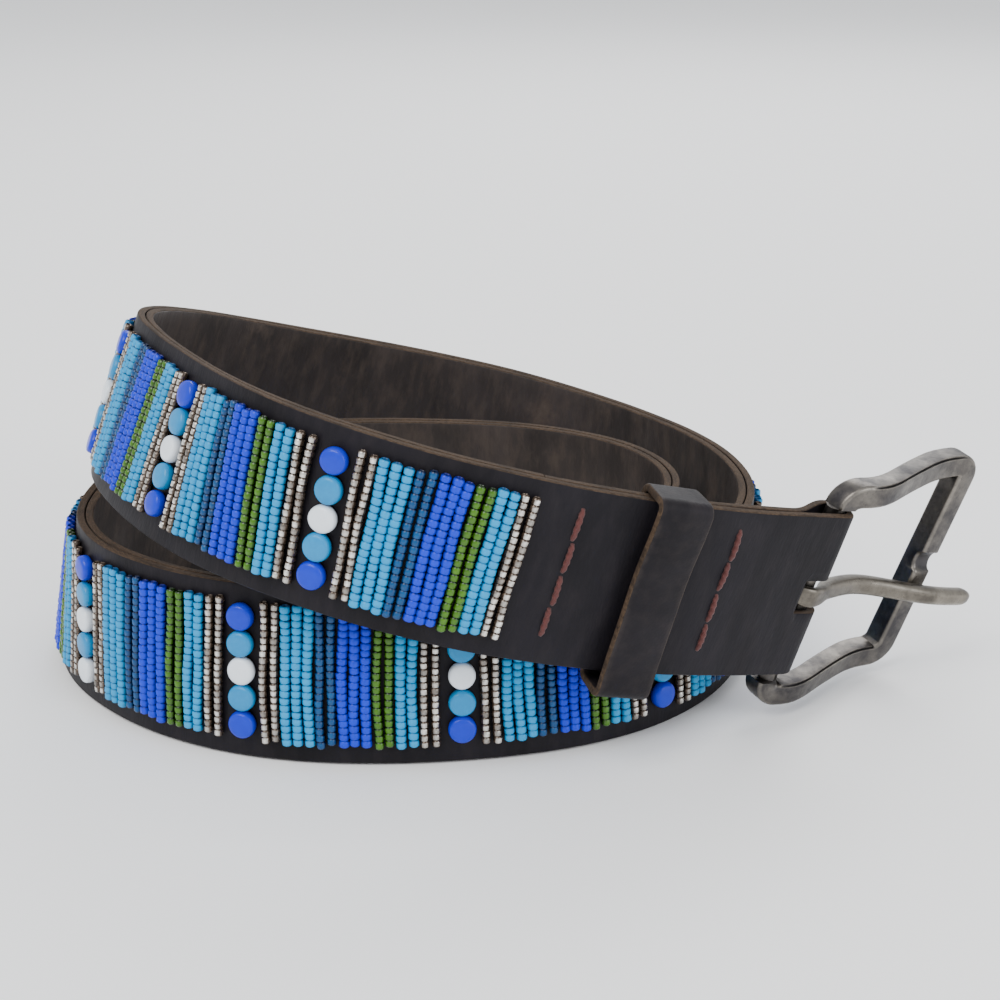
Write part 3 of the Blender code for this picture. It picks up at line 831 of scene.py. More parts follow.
class Tree(Drawing):
    """A Geometry Nodes tree that sets copies of a blank on points and dresses them by kind."""

    inputs = (("Blank", "NodeSocketObject"), ("Length", "NodeSocketFloat"),
              ("Girth", "NodeSocketFloat"), ("Size Jitter", "NodeSocketFloat"),
              ("Tilt Jitter", "NodeSocketFloat"), ("Seed", "NodeSocketInt"))

    def __init__(self, name: str, finishes: Sequence[bpy.types.Material]) -> None:
        """Draw the tree.

        Args:
            name: the tree's name.
            finishes: the material for each kind of copy.
        """
        super().__init__(bpy.data.node_groups.new(name, "GeometryNodeTree"))
        face = self.tree.interface
        face.new_socket("Geometry", in_out="INPUT", socket_type="NodeSocketGeometry")
        for label, kind in self.inputs:
            face.new_socket(label, in_out="INPUT", socket_type=kind)
        face.new_socket("Geometry", in_out="OUTPUT", socket_type="NodeSocketGeometry")
        source = self.node("NodeGroupInput")
        blank = self.node("GeometryNodeObjectInfo", {"Object": source.outputs["Blank"]})
        turn = self.named("turn", "FLOAT_VECTOR")
        facing = self.node("FunctionNodeEulerToRotation", {"Euler": turn})
        jitter = source.outputs["Size Jitter"]
        least = self.node("ShaderNodeMath", {0: 1.0, 1: jitter}, operation="SUBTRACT").outputs[0]
        most = self.node("ShaderNodeMath", {0: 1.0, 1: jitter}, operation="ADD").outputs[0]
        grown = self.random("FLOAT", least, most, source.outputs["Seed"])
        girth = source.outputs["Girth"]
        size = self.node("ShaderNodeCombineXYZ", {0: source.outputs["Length"], 1: girth, 2: girth})
        own = self.named("shape", "FLOAT_VECTOR")
        shape = self.node("ShaderNodeVectorMath", {0: size.outputs[0], 1: own},
                          operation="MULTIPLY")
        sized = self.node("ShaderNodeVectorMath", {0: shape.outputs[0], "Scale": grown},
                          operation="SCALE")
        copies = self.node("GeometryNodeInstanceOnPoints", {
            "Points": source.outputs["Geometry"], "Instance": blank.outputs["Geometry"],
            "Rotation": facing.outputs[0], "Scale": sized.outputs[0]})
        tilt = source.outputs["Tilt Jitter"]
        back = self.node("ShaderNodeMath", {0: 0.0, 1: tilt}, operation="SUBTRACT").outputs[0]
        low = self.node("ShaderNodeCombineXYZ", {0: back, 1: back, 2: back}).outputs[0]
        high = self.node("ShaderNodeCombineXYZ", {0: tilt, 1: tilt, 2: tilt}).outputs[0]
        wobble = self.random("FLOAT_VECTOR", low, high, source.outputs["Seed"])
        spun = self.node("GeometryNodeRotateInstances",
                         {"Instances": copies.outputs[0], "Rotation": wobble, "Local Space": True})
        shown = self.node("GeometryNodeRealizeInstances", {"Geometry": spun.outputs[0]}).outputs[0]
        for kind, material in enumerate(finishes):
            chosen = self.node("FunctionNodeCompare", data_type="INT", operation="EQUAL")
            self.feed(self.socket(chosen.inputs, "A"), self.named("kind", "INT"))
            self.feed(self.socket(chosen.inputs, "B"), kind)
            shown = self.node("GeometryNodeSetMaterial", {
                "Geometry": shown, "Selection": chosen.outputs[0], "Material": material}).outputs[0]
        self.node("NodeGroupOutput", {0: shown})

    @staticmethod
    def socket(sockets: Sequence[bpy.types.NodeSocket], name: str) -> bpy.types.NodeSocket:
        """Give the socket of this name that is in use."""
        return next(socket for socket in sockets if socket.enabled and socket.name == name)

    def named(self, name: str, kind: str) -> bpy.types.NodeSocket:
        """Read a value that the points carry."""
        node = self.node("GeometryNodeInputNamedAttribute", {"Name": name}, data_type=kind)
        return self.socket(node.outputs, "Attribute")

    def random(self, kind: str, low: object, high: object, seed: object) -> bpy.types.NodeSocket:
        """Give a random value for each point, always the same for a seed."""
        node = self.node("FunctionNodeRandomValue", data_type=kind)
        for name, value in (("Min", low), ("Max", high), ("Seed", seed)):
            self.feed(self.socket(node.inputs, name), value)
        return self.socket(node.outputs, "Value")

    def grow(self, name: str, copies: Sequence["Copy"], **values: object) -> bpy.types.Object:
        """Set the copies and make them one plain mesh.

        Args:
            name: the object's name.
            copies: where each copy goes.
            values: the tree's inputs, with _ for a space.

        Returns:
            The object.
        """
        mesh = bpy.data.meshes.new(name)
        mesh.from_pydata([copy.place for copy in copies], [], [])
        turns = [tuple(copy.turn.to_euler()) for copy in copies]
        give_attribute(mesh, "turn", "FLOAT_VECTOR", turns)
        give_attribute(mesh, "shape", "FLOAT_VECTOR", [copy.shape for copy in copies])
        give_attribute(mesh, "kind", "INT", [copy.kind for copy in copies])
        give_attribute(mesh, "tint", "FLOAT", [copy.tint for copy in copies])
        thing = put_in_scene(name, mesh)
        modifier = thing.modifiers.new("copies", "NODES")
        modifier.node_group = self.tree
        for item in self.tree.interface.items_tree:
            key = item.name.replace(" ", "_")
            if item.item_type == "SOCKET" and item.in_out == "INPUT" and key in values:
                modifier[item.identifier] = values[key]
        settle(thing)
        thing.data.shade_smooth()
        return thing


@dataclass(frozen=True)
class Copy:
    """Where one copy of a blank goes, and how it differs from the others."""

    place: Vector
    turn: Matrix
    kind: int
    shape: Colour = (1.0, 1.0, 1.0)
    tint: float = 0.5


def turned_blank(name: str, profile: Sequence[tuple[float, float]], count: int, axis: str,
                 crowns: Callable[[Vector], float], closed: bool) -> bpy.types.Object:
    """Turn a profile into a blank, a small shape that is copied many times.

    Args:
        name: the blank's name.
        profile: its (length, radius) places.
        count: how many sides it has.
        axis: the axis it is turned about, X or Z.
        crowns: gives how near a point is to the side that is seen.
        closed: whether the profile closes on itself, as a bead's does round its hole.

    Returns:
        The blank, out of the render.
    """
    points, faces = [], []
    rows = len(profile)
    for k in range(count):
        angle = math.tau * k / count
        for length, radius in profile:
            side, rise = radius * math.sin(angle), radius * math.cos(angle)
            points.append((length, side, rise) if axis == "X" else (side, rise, length))
    for k in range(count):
        after = (k + 1) % count
        for row in range(rows if closed else rows - 1):
            up = (row + 1) % rows
            faces.append((k * rows + row, k * rows + up, after * rows + up, after * rows + row))
    if not closed:
        faces += [tuple(k * rows + end for k in range(count)) for end in (0, rows - 1)]
    mesh = bpy.data.meshes.new(name)
    mesh.from_pydata(points, [], faces)
    give_attribute(mesh, "crown", "FLOAT", [crowns(Vector(point)) for point in points])
    thing = finish_mesh(name, mesh, [])
    thing.hide_render = True
    return thing


# The sub-assemblies


class BeadKind(Enum):
    """The seed beads, each with its finish, its girth and its length beside the others."""

    # Each finish's second colour is painted shade on the bead's sides; the silver beads show silver
    # only on a narrow crown, a painted highlight, and painted shade elsewhere
    SILVER = (GlassFinish("bead_silver_lined", (0.88, 0.85, 0.78), (0.060, 0.042, 0.030),
                          roughness=0.20, metallic=0.60, coat=0.5, painted_light_low=0.83, painted_light_high=1.00,
                          streak=0.85), 0.90, 0.94)
    TURQUOISE = (GlassFinish("bead_turquoise", (0.004, 0.300, 0.620), (0.000, 0.060, 0.170)),
                 1.07, 1.0)
    GREEN = (GlassFinish("bead_green", (0.052, 0.165, 0.000), (0.004, 0.018, 0.000), roughness=0.20,
                         coat=0.45, painted_light_low=0.60, painted_light_high=0.98, streak=0.30), 0.93, 0.97)
    BLUE = (GlassFinish("bead_blue", (0.002, 0.028, 0.640), (0.000, 0.004, 0.150)), 1.07, 1.0)
    TEAL = (GlassFinish("bead_teal", (0.000, 0.066, 0.210), (0.000, 0.006, 0.036), roughness=0.26,
                        coat=0.25, painted_light_low=0.55, painted_light_high=0.98, streak=0.30), 0.90, 0.97)

    def __init__(self, finish: GlassFinish, girth: float, length: float) -> None:
        """Keep the kind's finish and its two sizes."""
        self.finish = finish
        self.girth = girth
        self.span = length


class DiscKind(Enum):
    """The disc beads."""

    # Each disc's second colour is painted shade on its lower side and rim
    BLUE = GlassFinish("disc_blue", (0.001, 0.020, 0.520), (0.000, 0.009, 0.280), coat=0.2,
                       painted_light_low=0.0, painted_light_high=0.5)
    TURQUOISE = GlassFinish("disc_turquoise", (0.006, 0.225, 0.500), (0.002, 0.110, 0.300),
                            coat=0.2, painted_light_low=0.0, painted_light_high=0.5)
    WHITE = GlassFinish("disc_white", (0.76, 0.82, 0.88), (0.55, 0.60, 0.66), coat=0.6,
                        painted_light_low=0.0, painted_light_high=0.5)


@dataclass
class Strap:
    """The two leather plies, from the flap behind the buckle to the rounded tip."""

    route: BeltRoute
    step: float = 0.0018
    edge_rounding: float = 0.00045
    wander: float = 0.00012
    ripple: float = 0.00010
    hole_count: int = 5
    hole_diameter: float = 0.004
    hole_spacing: float = 0.025
    last_hole_from_tip: float = 0.050
    slot_half_width: float = 0.0041
    slot_depth: float = 0.0092
    slot_tool_front: float = 0.0065
    slot_tool_out: float = 0.0087
    face_columns: int = 12
    back_columns: int = 6
    corner_turns: tuple[float, ...] = (30.0, 60.0, 90.0)
    hidden_rounding_share: float = 0.4
    wander_rate: float = 55.0
    wander_lane: float = 3.1
    ripple_rate: float = 38.0
    ripple_rate_across: float = 60.0
    fold_taper_steps: int = 12
    fold_turn_steps: int = 24
    tip_steps: int = 14
    slot_tool_step: float = 0.004
    hole_tool_reach: float = 0.004
    hole_sides: int = 24

    def outline(self, half: float, thick: float) -> list[tuple[float, float, int]]:
        """Give a ply's section.

        Args:
            half: its half width.
            thick: its thickness.

        Returns:
            Points (across, depth below the shown side, finish of the side that starts there).
        """
        bend = self.edge_rounding
        points = [((half - bend) * (1 - 2 * k / self.face_columns), 0.0, 0)
                  for k in range(self.face_columns + 1)]
        corner = [(half - bend * (1 - math.sin(a)), bend * (1 - math.cos(a)))
                  for a in map(math.radians, self.corner_turns)]
        points += [(-across, depth, 0 if k < 1 else 1) for k, (across, depth) in enumerate(corner)]
        bevel = bend * self.hidden_rounding_share
        low = half - bevel
        points.append((-half, thick - bevel, 1))
        hidden = [-low * (1 - 2 * k / self.back_columns) for k in range(self.back_columns + 1)]
        points += [(across, thick, 0) for across in hidden]
        points[-1] = (*points[-1][:2], 1)
        points.append((half, thick - bevel, 1))
        points += [(across, depth, 1) for across, depth in reversed(corner)]
        points[-1] = (*points[-1][:2], 0)
        return points

    def ring(self, shown: tuple[float, float], hidden: tuple[float, float], run: float,
             half: float) -> tuple[list[Vector], list[Side]]:
        """Give one section of a ply in space.

        Args:
            shown: (along, out) of the shown side.
            hidden: (along, out) of the other side.
            run: how far along the ply's own length the section is.
            half: its half width.

        Returns:
            The ring's points and its sides.
        """
        thick = math.hypot(shown[0] - hidden[0], shown[1] - hidden[1])
        half += self.wander * noise.noise(Vector((run * self.wander_rate, self.wander_lane, 0.0)))
        outline = self.outline(half, thick)
        front = self.route.at(shown[0])
        back = front if hidden[0] == shown[0] else self.route.at(hidden[0])
        points, sides = [], []
        for k, (across, depth, finish) in enumerate(outline):
            share = depth / thick
            place = Vector((run * self.ripple_rate, across * self.ripple_rate_across, 0.0))
            swell = self.ripple * noise.noise(place)
            swell *= max(0.0, 1 - abs(across) / half) * (1 - share)
            a = front.place(across, shown[1] - swell)
            b = back.place(across, hidden[1])
            points.append(a.lerp(b, share))
            after = outline[(k + 1) % len(outline)]
            if finish == 0:
                sides.append(Side(0, across, after[0]))
            else:
                end = after[1] if after[1] != depth else depth + self.edge_rounding
                sides.append(Side(1, depth, end))
        return points, sides

    def fold_sections(self) -> list[tuple[tuple[float, float], tuple[float, float], float]]:
        """Give the face ply's flap and fold as (shown side, hidden side, run) sections."""
        sections = []
        back = -SIZES.face_outer
        fall = SIZES.bar_out - SIZES.fold_outer - back
        bar = SIZES.fold_outer
        for along in reversed(even_steps(bar + SIZES.fold_taper, SIZES.flap_end, self.step)):
            sections.append(((along, back), (along, back + SIZES.ply), -along))
        for k in range(self.fold_taper_steps - 1, 0, -1):
            share = k / self.fold_taper_steps
            along = bar + SIZES.fold_taper * share
            level = back + fall * (1 - smooth_step(share))
            sections.append(((along, level), (along, level + SIZES.ply), -along))
        for k in range(self.fold_turn_steps + 1):
            angle = math.radians(270 - 180 * k / self.fold_turn_steps)
            c, s = math.cos(angle), math.sin(angle)
            shown, hidden = [(bar + radius * c, SIZES.bar_out + radius * s)
                             for radius in (SIZES.fold_outer, SIZES.fold_inner)]
            sections.append((shown, hidden, bar * (2 * k / self.fold_turn_steps - 1)))
        return sections

    def run_sections(self, start: float, shown: float, hidden: float) -> list:
        """Give a ply's sections from a place along the belt to the tip.

        Args:
            start: where they start.
            shown: how far out the shown side lies.
            hidden: how far out the other side lies.

        Returns:
            (shown side, hidden side, run) sections.
        """
        body = even_steps(start, SIZES.length - SIZES.tip_rounding, self.step)
        turn = [SIZES.length - SIZES.tip_rounding * (1 - math.sin(math.pi / 2 * k / self.tip_steps))
                for k in range(1, self.tip_steps + 1)]
        return [((along, shown), (along, hidden), along) for along in body + turn]

    def ply(self, name: str, sections: list,
            finishes: Sequence[bpy.types.Material]) -> bpy.types.Object:
        """Skin one ply.

        Args:
            name: the ply's name.
            sections: its (shown side, hidden side, run) sections.
            finishes: the finishes of its sides and of its cut edge.

        Returns:
            The ply.
        """
        rings, sides = [], []
        for shown, hidden, run in sections:
            points, sides = self.ring(shown, hidden, run, SIZES.half_at(max(0.0, run)))
            rings.append(points)
        return loft(name, rings, finishes, sides, [section[2] for section in sections])

    def slot_tool(self, edge: bpy.types.Material) -> bpy.types.Object:
        """Make the shape that cuts the prong's slot through the fold."""
        bar = self.route.at(SIZES.fold_outer)
        rear = self.slot_depth - SIZES.fold_outer
        rings = []
        for across in even_steps(-self.slot_half_width, self.slot_half_width, self.slot_tool_step):
            rings.append([bar.place(across, SIZES.bar_out + out, along) for along, out in (
                (rear, -self.slot_tool_out), (-self.slot_tool_front, -self.slot_tool_out),
                (-self.slot_tool_front, self.slot_tool_out), (rear, self.slot_tool_out))])
        return loft("slot_tool", rings, [edge])

    def hole_tool(self, edge: bpy.types.Material) -> bpy.types.Object:
        """Make the shape that cuts the tip's holes."""
        mesh = bmesh.new()
        radius = self.hole_diameter / 2
        count = self.hole_sides
        for k in range(self.hole_count):
            along = SIZES.length - self.last_hole_from_tip - self.hole_spacing * k
            here = self.route.at(along)
            rows = [[mesh.verts.new(here.place(radius * math.sin(a), out, radius * math.cos(a)))
                     for a in (math.tau * n / count for n in range(count))]
                    for out in (-self.hole_tool_reach, self.hole_tool_reach)]
            for n in range(count):
                after = (n + 1) % count
                mesh.faces.new((rows[0][n], rows[0][after], rows[1][after], rows[1][n]))
            mesh.faces.new(rows[0])
            mesh.faces.new(rows[1])
        holes = bpy.data.meshes.new("hole_tool")
        mesh.to_mesh(holes)
        mesh.free()
        return finish_mesh("hole_tool", holes, [edge])

    def build(self) -> None:
        """Make both plies and let them stand for their solids."""
        edge = CUT_EDGE.make()
        slot, holes = self.slot_tool(edge), self.hole_tool(edge)
        sections = self.fold_sections()
        sections += self.run_sections(SIZES.fold_outer, SIZES.face_outer, SIZES.face_inner)[1:]
        face = self.ply("strap_face", sections, [FACE_LEATHER.make(), edge])
        cut(face, (slot, holes))
        sections = self.run_sections(SIZES.flap_end + SIZES.gap, -SIZES.face_outer,
                                     -SIZES.face_inner)
        lining = self.ply("strap_lining", sections, [LINING_LEATHER.make(), edge])
        cut(lining, (holes,))
        discard((slot, holes))
        dress(face, "strap", "face_leather")
        dress(lining, "strap", "lining_leather")


@dataclass
class Keeper:
    """The leather loop round the tab, hung on its upper edge."""

    route: BeltRoute
    from_fold: float = 0.0443
    width: float = 0.012
    thickness: float = 0.0018
    free_depth: float = 0.0034
    drop: float = 0.0025
    corner: float = 0.0026
    edge_rounding: float = 0.00055
    sag: float = 0.0007
    lean: float = 0.0006
    lean_rate: float = 70.0
    lean_lane: float = 0.4
    corner_step: int = 15
    long_steps: int = 18
    short_steps: int = 2
    band_turns: tuple[float, ...] = (0.0, 30.0, 60.0, 90.0)
    flat_share: float = 0.93

    def centre_line(self) -> list[tuple[float, float, float, float]]:
        """Give the loop's middle line as (across, out, outward across, outward out)."""
        half = self.thickness / 2
        top = SIZES.half + SIZES.gap + half
        bottom = -SIZES.half - self.drop - half
        front = SIZES.face_outer + self.free_depth + half
        back = -SIZES.face_outer - SIZES.gap - half
        radius = self.corner - half
        corners = ((top - radius, front - radius), (bottom + radius, front - radius),
                   (bottom + radius, back + radius), (top - radius, back + radius))
        line = []
        for index, (across, out) in enumerate(corners):
            for turn in range(0, 91, self.corner_step):
                angle = math.radians(90 * index + turn)
                c, s = math.cos(angle), math.sin(angle)
                line.append((across + radius * c, out + radius * s, c, s))
            after = corners[(index + 1) % len(corners)]
            start, end = line[-1][:2], (after[0] + radius * c, after[1] + radius * s)
            steps = self.short_steps if index % 2 else self.long_steps
            for k in range(1, steps):
                share = k / steps
                place = [a + (b - a) * share for a, b in zip(start, end)]
                if index == 0:
                    place[1] -= self.sag * math.sin(math.pi * share)
                line.append((*place, c, s))
        return line

    def band(self) -> list[tuple[float, float]]:
        """Give the band's section as (along, depth) points."""
        half, deep, bend = self.width / 2, self.thickness / 2, self.edge_rounding
        points = []
        for side, depth in ((1, 1), (-1, 1), (-1, -1), (1, -1)):
            arc = [(side * (half - bend + bend * math.cos(a)),
                    depth * (deep - bend + bend * math.sin(a)))
                   for a in map(math.radians, self.band_turns)]
            points += arc if side * depth > 0 else arc[::-1]
        return points

    def build(self) -> None:
        """Make the loop and let it stand for its solid."""
        band = self.band()
        rings, running, run, last = [], [], 0.0, None
        stations = {}
        for across, out, c, s in self.centre_line():
            if last is not None:
                run += math.hypot(across - last[0], out - last[1])
            last = (across, out)
            spot = Vector((across * self.lean_rate, out * self.lean_rate, self.lean_lane))
            lean = self.lean * noise.noise(spot)
            ring = []
            for along, depth in band:
                place = self.from_fold + self.width / 2 + along + lean
                here = stations.setdefault(round(place, 6), self.route.at(place))
                ring.append(here.place(across + c * depth, out + s * depth))
            rings.append(ring)
            running.append(run)
        sides = []
        for (along, depth), after in zip(band, band[1:] + band[:1]):
            flat = abs(depth + after[1]) > self.thickness * self.flat_share
            sides.append(Side(0 if flat else 1, along, after[0]))
        finishes = [KEEPER_LEATHER.make(), bpy.data.materials[CUT_EDGE.name]]
        piece = loft("keeper_loop", rings, finishes, sides, running, closed=True)
        dress(piece, "strap", "keeper")


@dataclass
class Beadwork:
    """The fields of seed beads and the columns of discs between them."""

    route: BeltRoute
    row_pitch: float = 0.0024
    first_row_pitch: float = 0.00225
    rows: int = 16
    disc_lane: float = 0.0079
    first_disc: float = 0.119
    top_margin: float = 0.0035
    bottom_margin: float = 0.0045
    seat_gap: float = 0.0005
    bead_length: float = 0.00163
    bead_girth: float = 0.00222
    bead_level: float = 0.00112
    row_arch: float = 0.00015
    disc_count: int = 5
    disc_diameter: float = 0.0060
    disc_height: float = 0.0026
    disc_end_margin: float = 0.0006
    bead_sides: int = 10
    disc_sides: int = 26
    bead_overlap: float = 1.05
    top_stray: float = 0.0004
    bottom_stray: float = 0.0005
    bow: float = 0.0006
    bow_turn: float = 1.9
    bow_turn_per_field: float = 0.7
    sway: float = 0.00018
    sway_turn: float = 5.0
    bead_stray: float = 0.00005
    bead_size_jitter: float = 0.045
    bead_tilt_jitter: float = 0.09
    disc_stray: float = 0.00018
    disc_stoutness: float = 0.03
    disc_size_jitter: float = 0.02
    disc_tilt_jitter: float = 0.035
    disc_seed_start: int = 100
    seed: int = 11

    # (length, radius) places for a unit size; the bead's runs back through its hole
    bead_profile = ((-0.50, 0.35), (-0.31, 0.495), (0.31, 0.495), (0.50, 0.35), (0.0, 0.17))
    disc_profile = ((0.0, 0.42), (0.10, 0.485), (0.30, 0.50), (0.58, 0.50), (0.78, 0.478),
                    (0.91, 0.435), (0.975, 0.36), (1.0, 0.22), (1.004, 0.06))
    # Beyond end_from of its length a bead's crown is scaled by end_painted_light: painted shade
    # where neighbouring beads meet
    end_from = 0.4
    end_painted_light = 0.55
    pattern = "SSTTGGBBBDDTTTSS"
    letters = {"S": BeadKind.SILVER, "T": BeadKind.TURQUOISE, "G": BeadKind.GREEN,
               "B": BeadKind.BLUE, "D": BeadKind.TEAL}
    disc_order = (DiscKind.BLUE, DiscKind.TURQUOISE, DiscKind.WHITE, DiscKind.TURQUOISE,
                  DiscKind.BLUE)
    column_with_white_foot = 13

    @cached_property
    def dice(self) -> np.random.Generator:
        """The beadwork's own fixed chance."""
        return np.random.default_rng(self.seed)

    @property
    def top(self) -> float:
        """Where the rows end above."""
        return SIZES.half - self.top_margin

    @property
    def bottom(self) -> float:
        """Where the rows end below."""
        return self.bottom_margin - SIZES.half

    @property
    def repeat(self) -> float:
        """The length of one field and one disc column."""
        return self.rows * self.row_pitch + self.disc_lane

    def layout(self) -> tuple[list[tuple[float, float]], list[float]]:
        """Give the fields' starts and ends, and the disc columns' middles."""
        lane = self.disc_lane / 2
        end = self.first_disc - lane
        spans = [(end - self.rows * self.first_row_pitch, end)]
        discs = []
        middle = self.first_disc
        while middle + self.repeat - lane <= SIZES.length - SIZES.plain_tip:
            discs.append(middle)
            spans.append((middle + lane, middle + self.repeat - lane))
            middle += self.repeat
        return spans, discs

    def bead_blank(self) -> bpy.types.Object:
        """Make one seed bead of unit size, its hole along X and its seen side at +Z."""

        def crown(point: Vector) -> float:
            """Give how near a point is to the seen side, less at the bead's ends, where the
            finishes paint shade between neighbours.
            """
            return (0.5 + point.z) * (1.0 if abs(point.x) < self.end_from else self.end_painted_light)

        return turned_blank("seed_blank", self.bead_profile, self.bead_sides, "X", crown, True)

    def disc_blank(self) -> bpy.types.Object:
        """Make one disc bead of unit size, lying flat with its seen side at +Z."""
        # The crown rises with height, so the finishes paint shade on the disc's lower half
        return turned_blank("disc_blank", self.disc_profile, self.disc_sides, "Z",
                            lambda point: point.z, False)

    def stray(self, most: float) -> float:
        """Give a chance distance of at most this much either way."""
        return most * self.dice.uniform(-1, 1)

    def row_copies(self, number: int, row: int, along: float, bow: float) -> list[Copy]:
        """Give the beads of one row.

        Args:
            number: the field's number.
            row: the row's number in it.
            along: where the row stands.
            bow: how far the field's rows bend.

        Returns:
            The row's beads, from its upper end to its lower.
        """
        kind = self.letters[self.pattern[row]]
        index = list(BeadKind).index(kind)
        top = self.top + self.stray(self.top_stray)
        bottom = self.bottom + self.stray(self.bottom_stray)
        count = round((top - bottom) / (self.bead_length * kind.span))
        pitch = (top - bottom) / count
        sway = self.stray(self.sway)
        copies = []
        for k in range(count):
            across = top - pitch * (k + 0.5)
            share = across / SIZES.half
            drift = bow * math.sin(self.bow_turn * share + self.bow_turn_per_field * number)
            drift += sway * math.sin(self.sway_turn * share + row) + self.stray(self.bead_stray)
            here = self.route.at(along + drift)
            level = SIZES.face_outer + self.bead_level * kind.girth ** 0.5
            level += self.row_arch * (1 - share * share) + self.stray(self.bead_stray)
            shape = (pitch / self.bead_length * self.bead_overlap, kind.girth, kind.girth)
            copies.append(Copy(here.place(across, level), here.turn(), index, shape,
                               self.dice.random()))
        return copies

    def disc_copies(self, number: int, middle: float) -> list[Copy]:
        """Give the discs of one column, from its upper end to its lower."""
        radius = self.disc_diameter / 2
        high = self.top - self.disc_end_margin - radius
        low = self.bottom + self.disc_end_margin + radius
        kinds = list(self.disc_order)
        if number == self.column_with_white_foot:
            kinds[-1] = DiscKind.WHITE
        copies = []
        for k, kind in enumerate(kinds):
            across = high + (low - high) * k / (self.disc_count - 1)
            here = self.route.at(middle + self.stray(self.disc_stray))
            place = here.place(across, SIZES.face_outer + self.seat_gap / 2)
            stout = 1 + self.stray(self.disc_stoutness)
            shape = (stout, 1.0, self.disc_height / self.disc_diameter)
            copies.append(Copy(place, here.turn(), list(DiscKind).index(kind), shape,
                               self.dice.random()))
        return copies

    def build(self) -> None:
        """Make every field and column, and let each stand for its solid."""
        spans, discs = self.layout()
        bead, disc = self.bead_blank(), self.disc_blank()
        rows = Tree("seed_bead_rows", [kind.finish.make() for kind in BeadKind])
        for number, (start, end) in enumerate(spans, start=1):
            pitch = (end - start) / self.rows
            bow = self.bow * self.dice.uniform(0.3, 1.0)
            copies = [copy for row in range(self.rows)
                      for copy in self.row_copies(number, row, start + pitch * (row + 0.5), bow)]
            piece = rows.grow(f"seed_field_{number:02d}", copies, Blank=bead,
                              Length=self.bead_length, Girth=self.bead_girth,
                              Size_Jitter=self.bead_size_jitter,
                              Tilt_Jitter=self.bead_tilt_jitter, Seed=number)
            dress(piece, "strap", f"seed_bay_{number:02d}")
        column = Tree("disc_bead_column", [kind.value.make() for kind in DiscKind])
        for number, middle in enumerate(discs, start=1):
            copies = self.disc_copies(number, middle)
            piece = column.grow(f"disc_row_{number:02d}", copies, Blank=disc,
                                Length=self.disc_diameter, Girth=self.disc_diameter,
                                Size_Jitter=self.disc_size_jitter,
                                Tilt_Jitter=self.disc_tilt_jitter,
                                Seed=self.disc_seed_start + number)
            dress(piece, "strap", f"disc_column_{number:02d}")
        discard((bead, disc))


@dataclass
class Stitching:
    """The two rows of dark red stitches that hold the flap, on the front and on the back."""

    route: BeltRoute
    rows: tuple[float, ...] = (0.070, 0.033)
    holes: tuple[float, ...] = (0.0160, 0.0082, 0.0008, -0.0068, -0.0138)
    thickness: float = 0.00125
    length: float = 0.0076
    reach: float = 0.95
    back_drop: float = 0.0004
    stray: float = 0.0002
    size_jitter: float = 0.02
    tilt_jitter: float = 0.03
    blank_sides: int = 12
    blank_steps: int = 28
    arch: float = 0.58
    arch_power: float = 0.45
    arch_sink: float = 0.40
    end_girth: float = 0.78
    ply_count: int = 2
    ply_depth: float = 0.13
    ply_turns: float = 2.2
    seed: int = 5

    def blank(self) -> bpy.types.Object:
        """Make one stitch of unit length, a two-ply twist whose ends dive into the leather."""
        rings = []
        for k in range(self.blank_steps + 1):
            share = k / self.blank_steps
            bulge = math.sin(math.pi * share)
            lift = self.arch * bulge ** self.arch_power - self.arch_sink
            swell = 0.5 * (self.end_girth + (1 - self.end_girth) * bulge ** 0.5)
            ring = []
            for n in range(self.blank_sides):
                angle = math.tau * n / self.blank_sides
                twist = self.ply_count * (angle - math.tau * self.ply_turns * share)
                radius = swell * (1 + self.ply_depth * math.cos(twist))
                ring.append(Vector((share - 0.5, radius * math.sin(angle),
                                    lift + radius * math.cos(angle))))
            rings.append(ring)
        thing = loft("stitch_blank", rings, [])
        # The crown falls with height, so the thread's finish paints shade on the stitch's sides and
        # sunken ends
        give_attribute(thing.data, "crown", "FLOAT", [0.5 + v.co.z for v in thing.data.vertices])
        thing.hide_render = True
        return thing

    def copies(self, shown: bool) -> list[Copy]:
        """Give the stitches of one side of the tab.

        Args:
            shown: whether it is the front.

        Returns:
            The stitches.
        """
        result = []
        level = SIZES.face_outer * (1 if shown else -1)
        dice = np.random.default_rng(self.seed)
        for along in self.rows:
            holes = self.holes if shown else [hole - self.back_drop for hole in self.holes]
            for high, low in zip(holes[:-1], holes[1:]):
                here = self.route.at(along + self.stray * dice.uniform(-1, 1))
                middle = here.place((high + low) / 2, level)
                turn = here.turn()
                if not shown:
                    turn = turn @ Matrix.Rotation(math.pi, 3, "X")
                span = (high - low) / self.length * self.reach * dice.uniform(0.97, 1.04)
                result.append(Copy(middle, turn, 0, (span, 1.0, 1.0), dice.random()))
        return result

    def build(self) -> None:
        """Make both sides' stitches as one piece."""
        blank = self.blank()
        tree = Tree("tab_stitches", [THREAD.make()])
        piece = tree.grow("tab_stitches", self.copies(True) + self.copies(False), Blank=blank,
                          Length=self.length, Girth=self.thickness, Size_Jitter=self.size_jitter,
                          Tilt_Jitter=self.tilt_jitter, Seed=self.seed)
        discard((blank,))
        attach(piece, "strap")
        LOG.info("%s: %d faces", piece.name, len(piece.data.polygons))


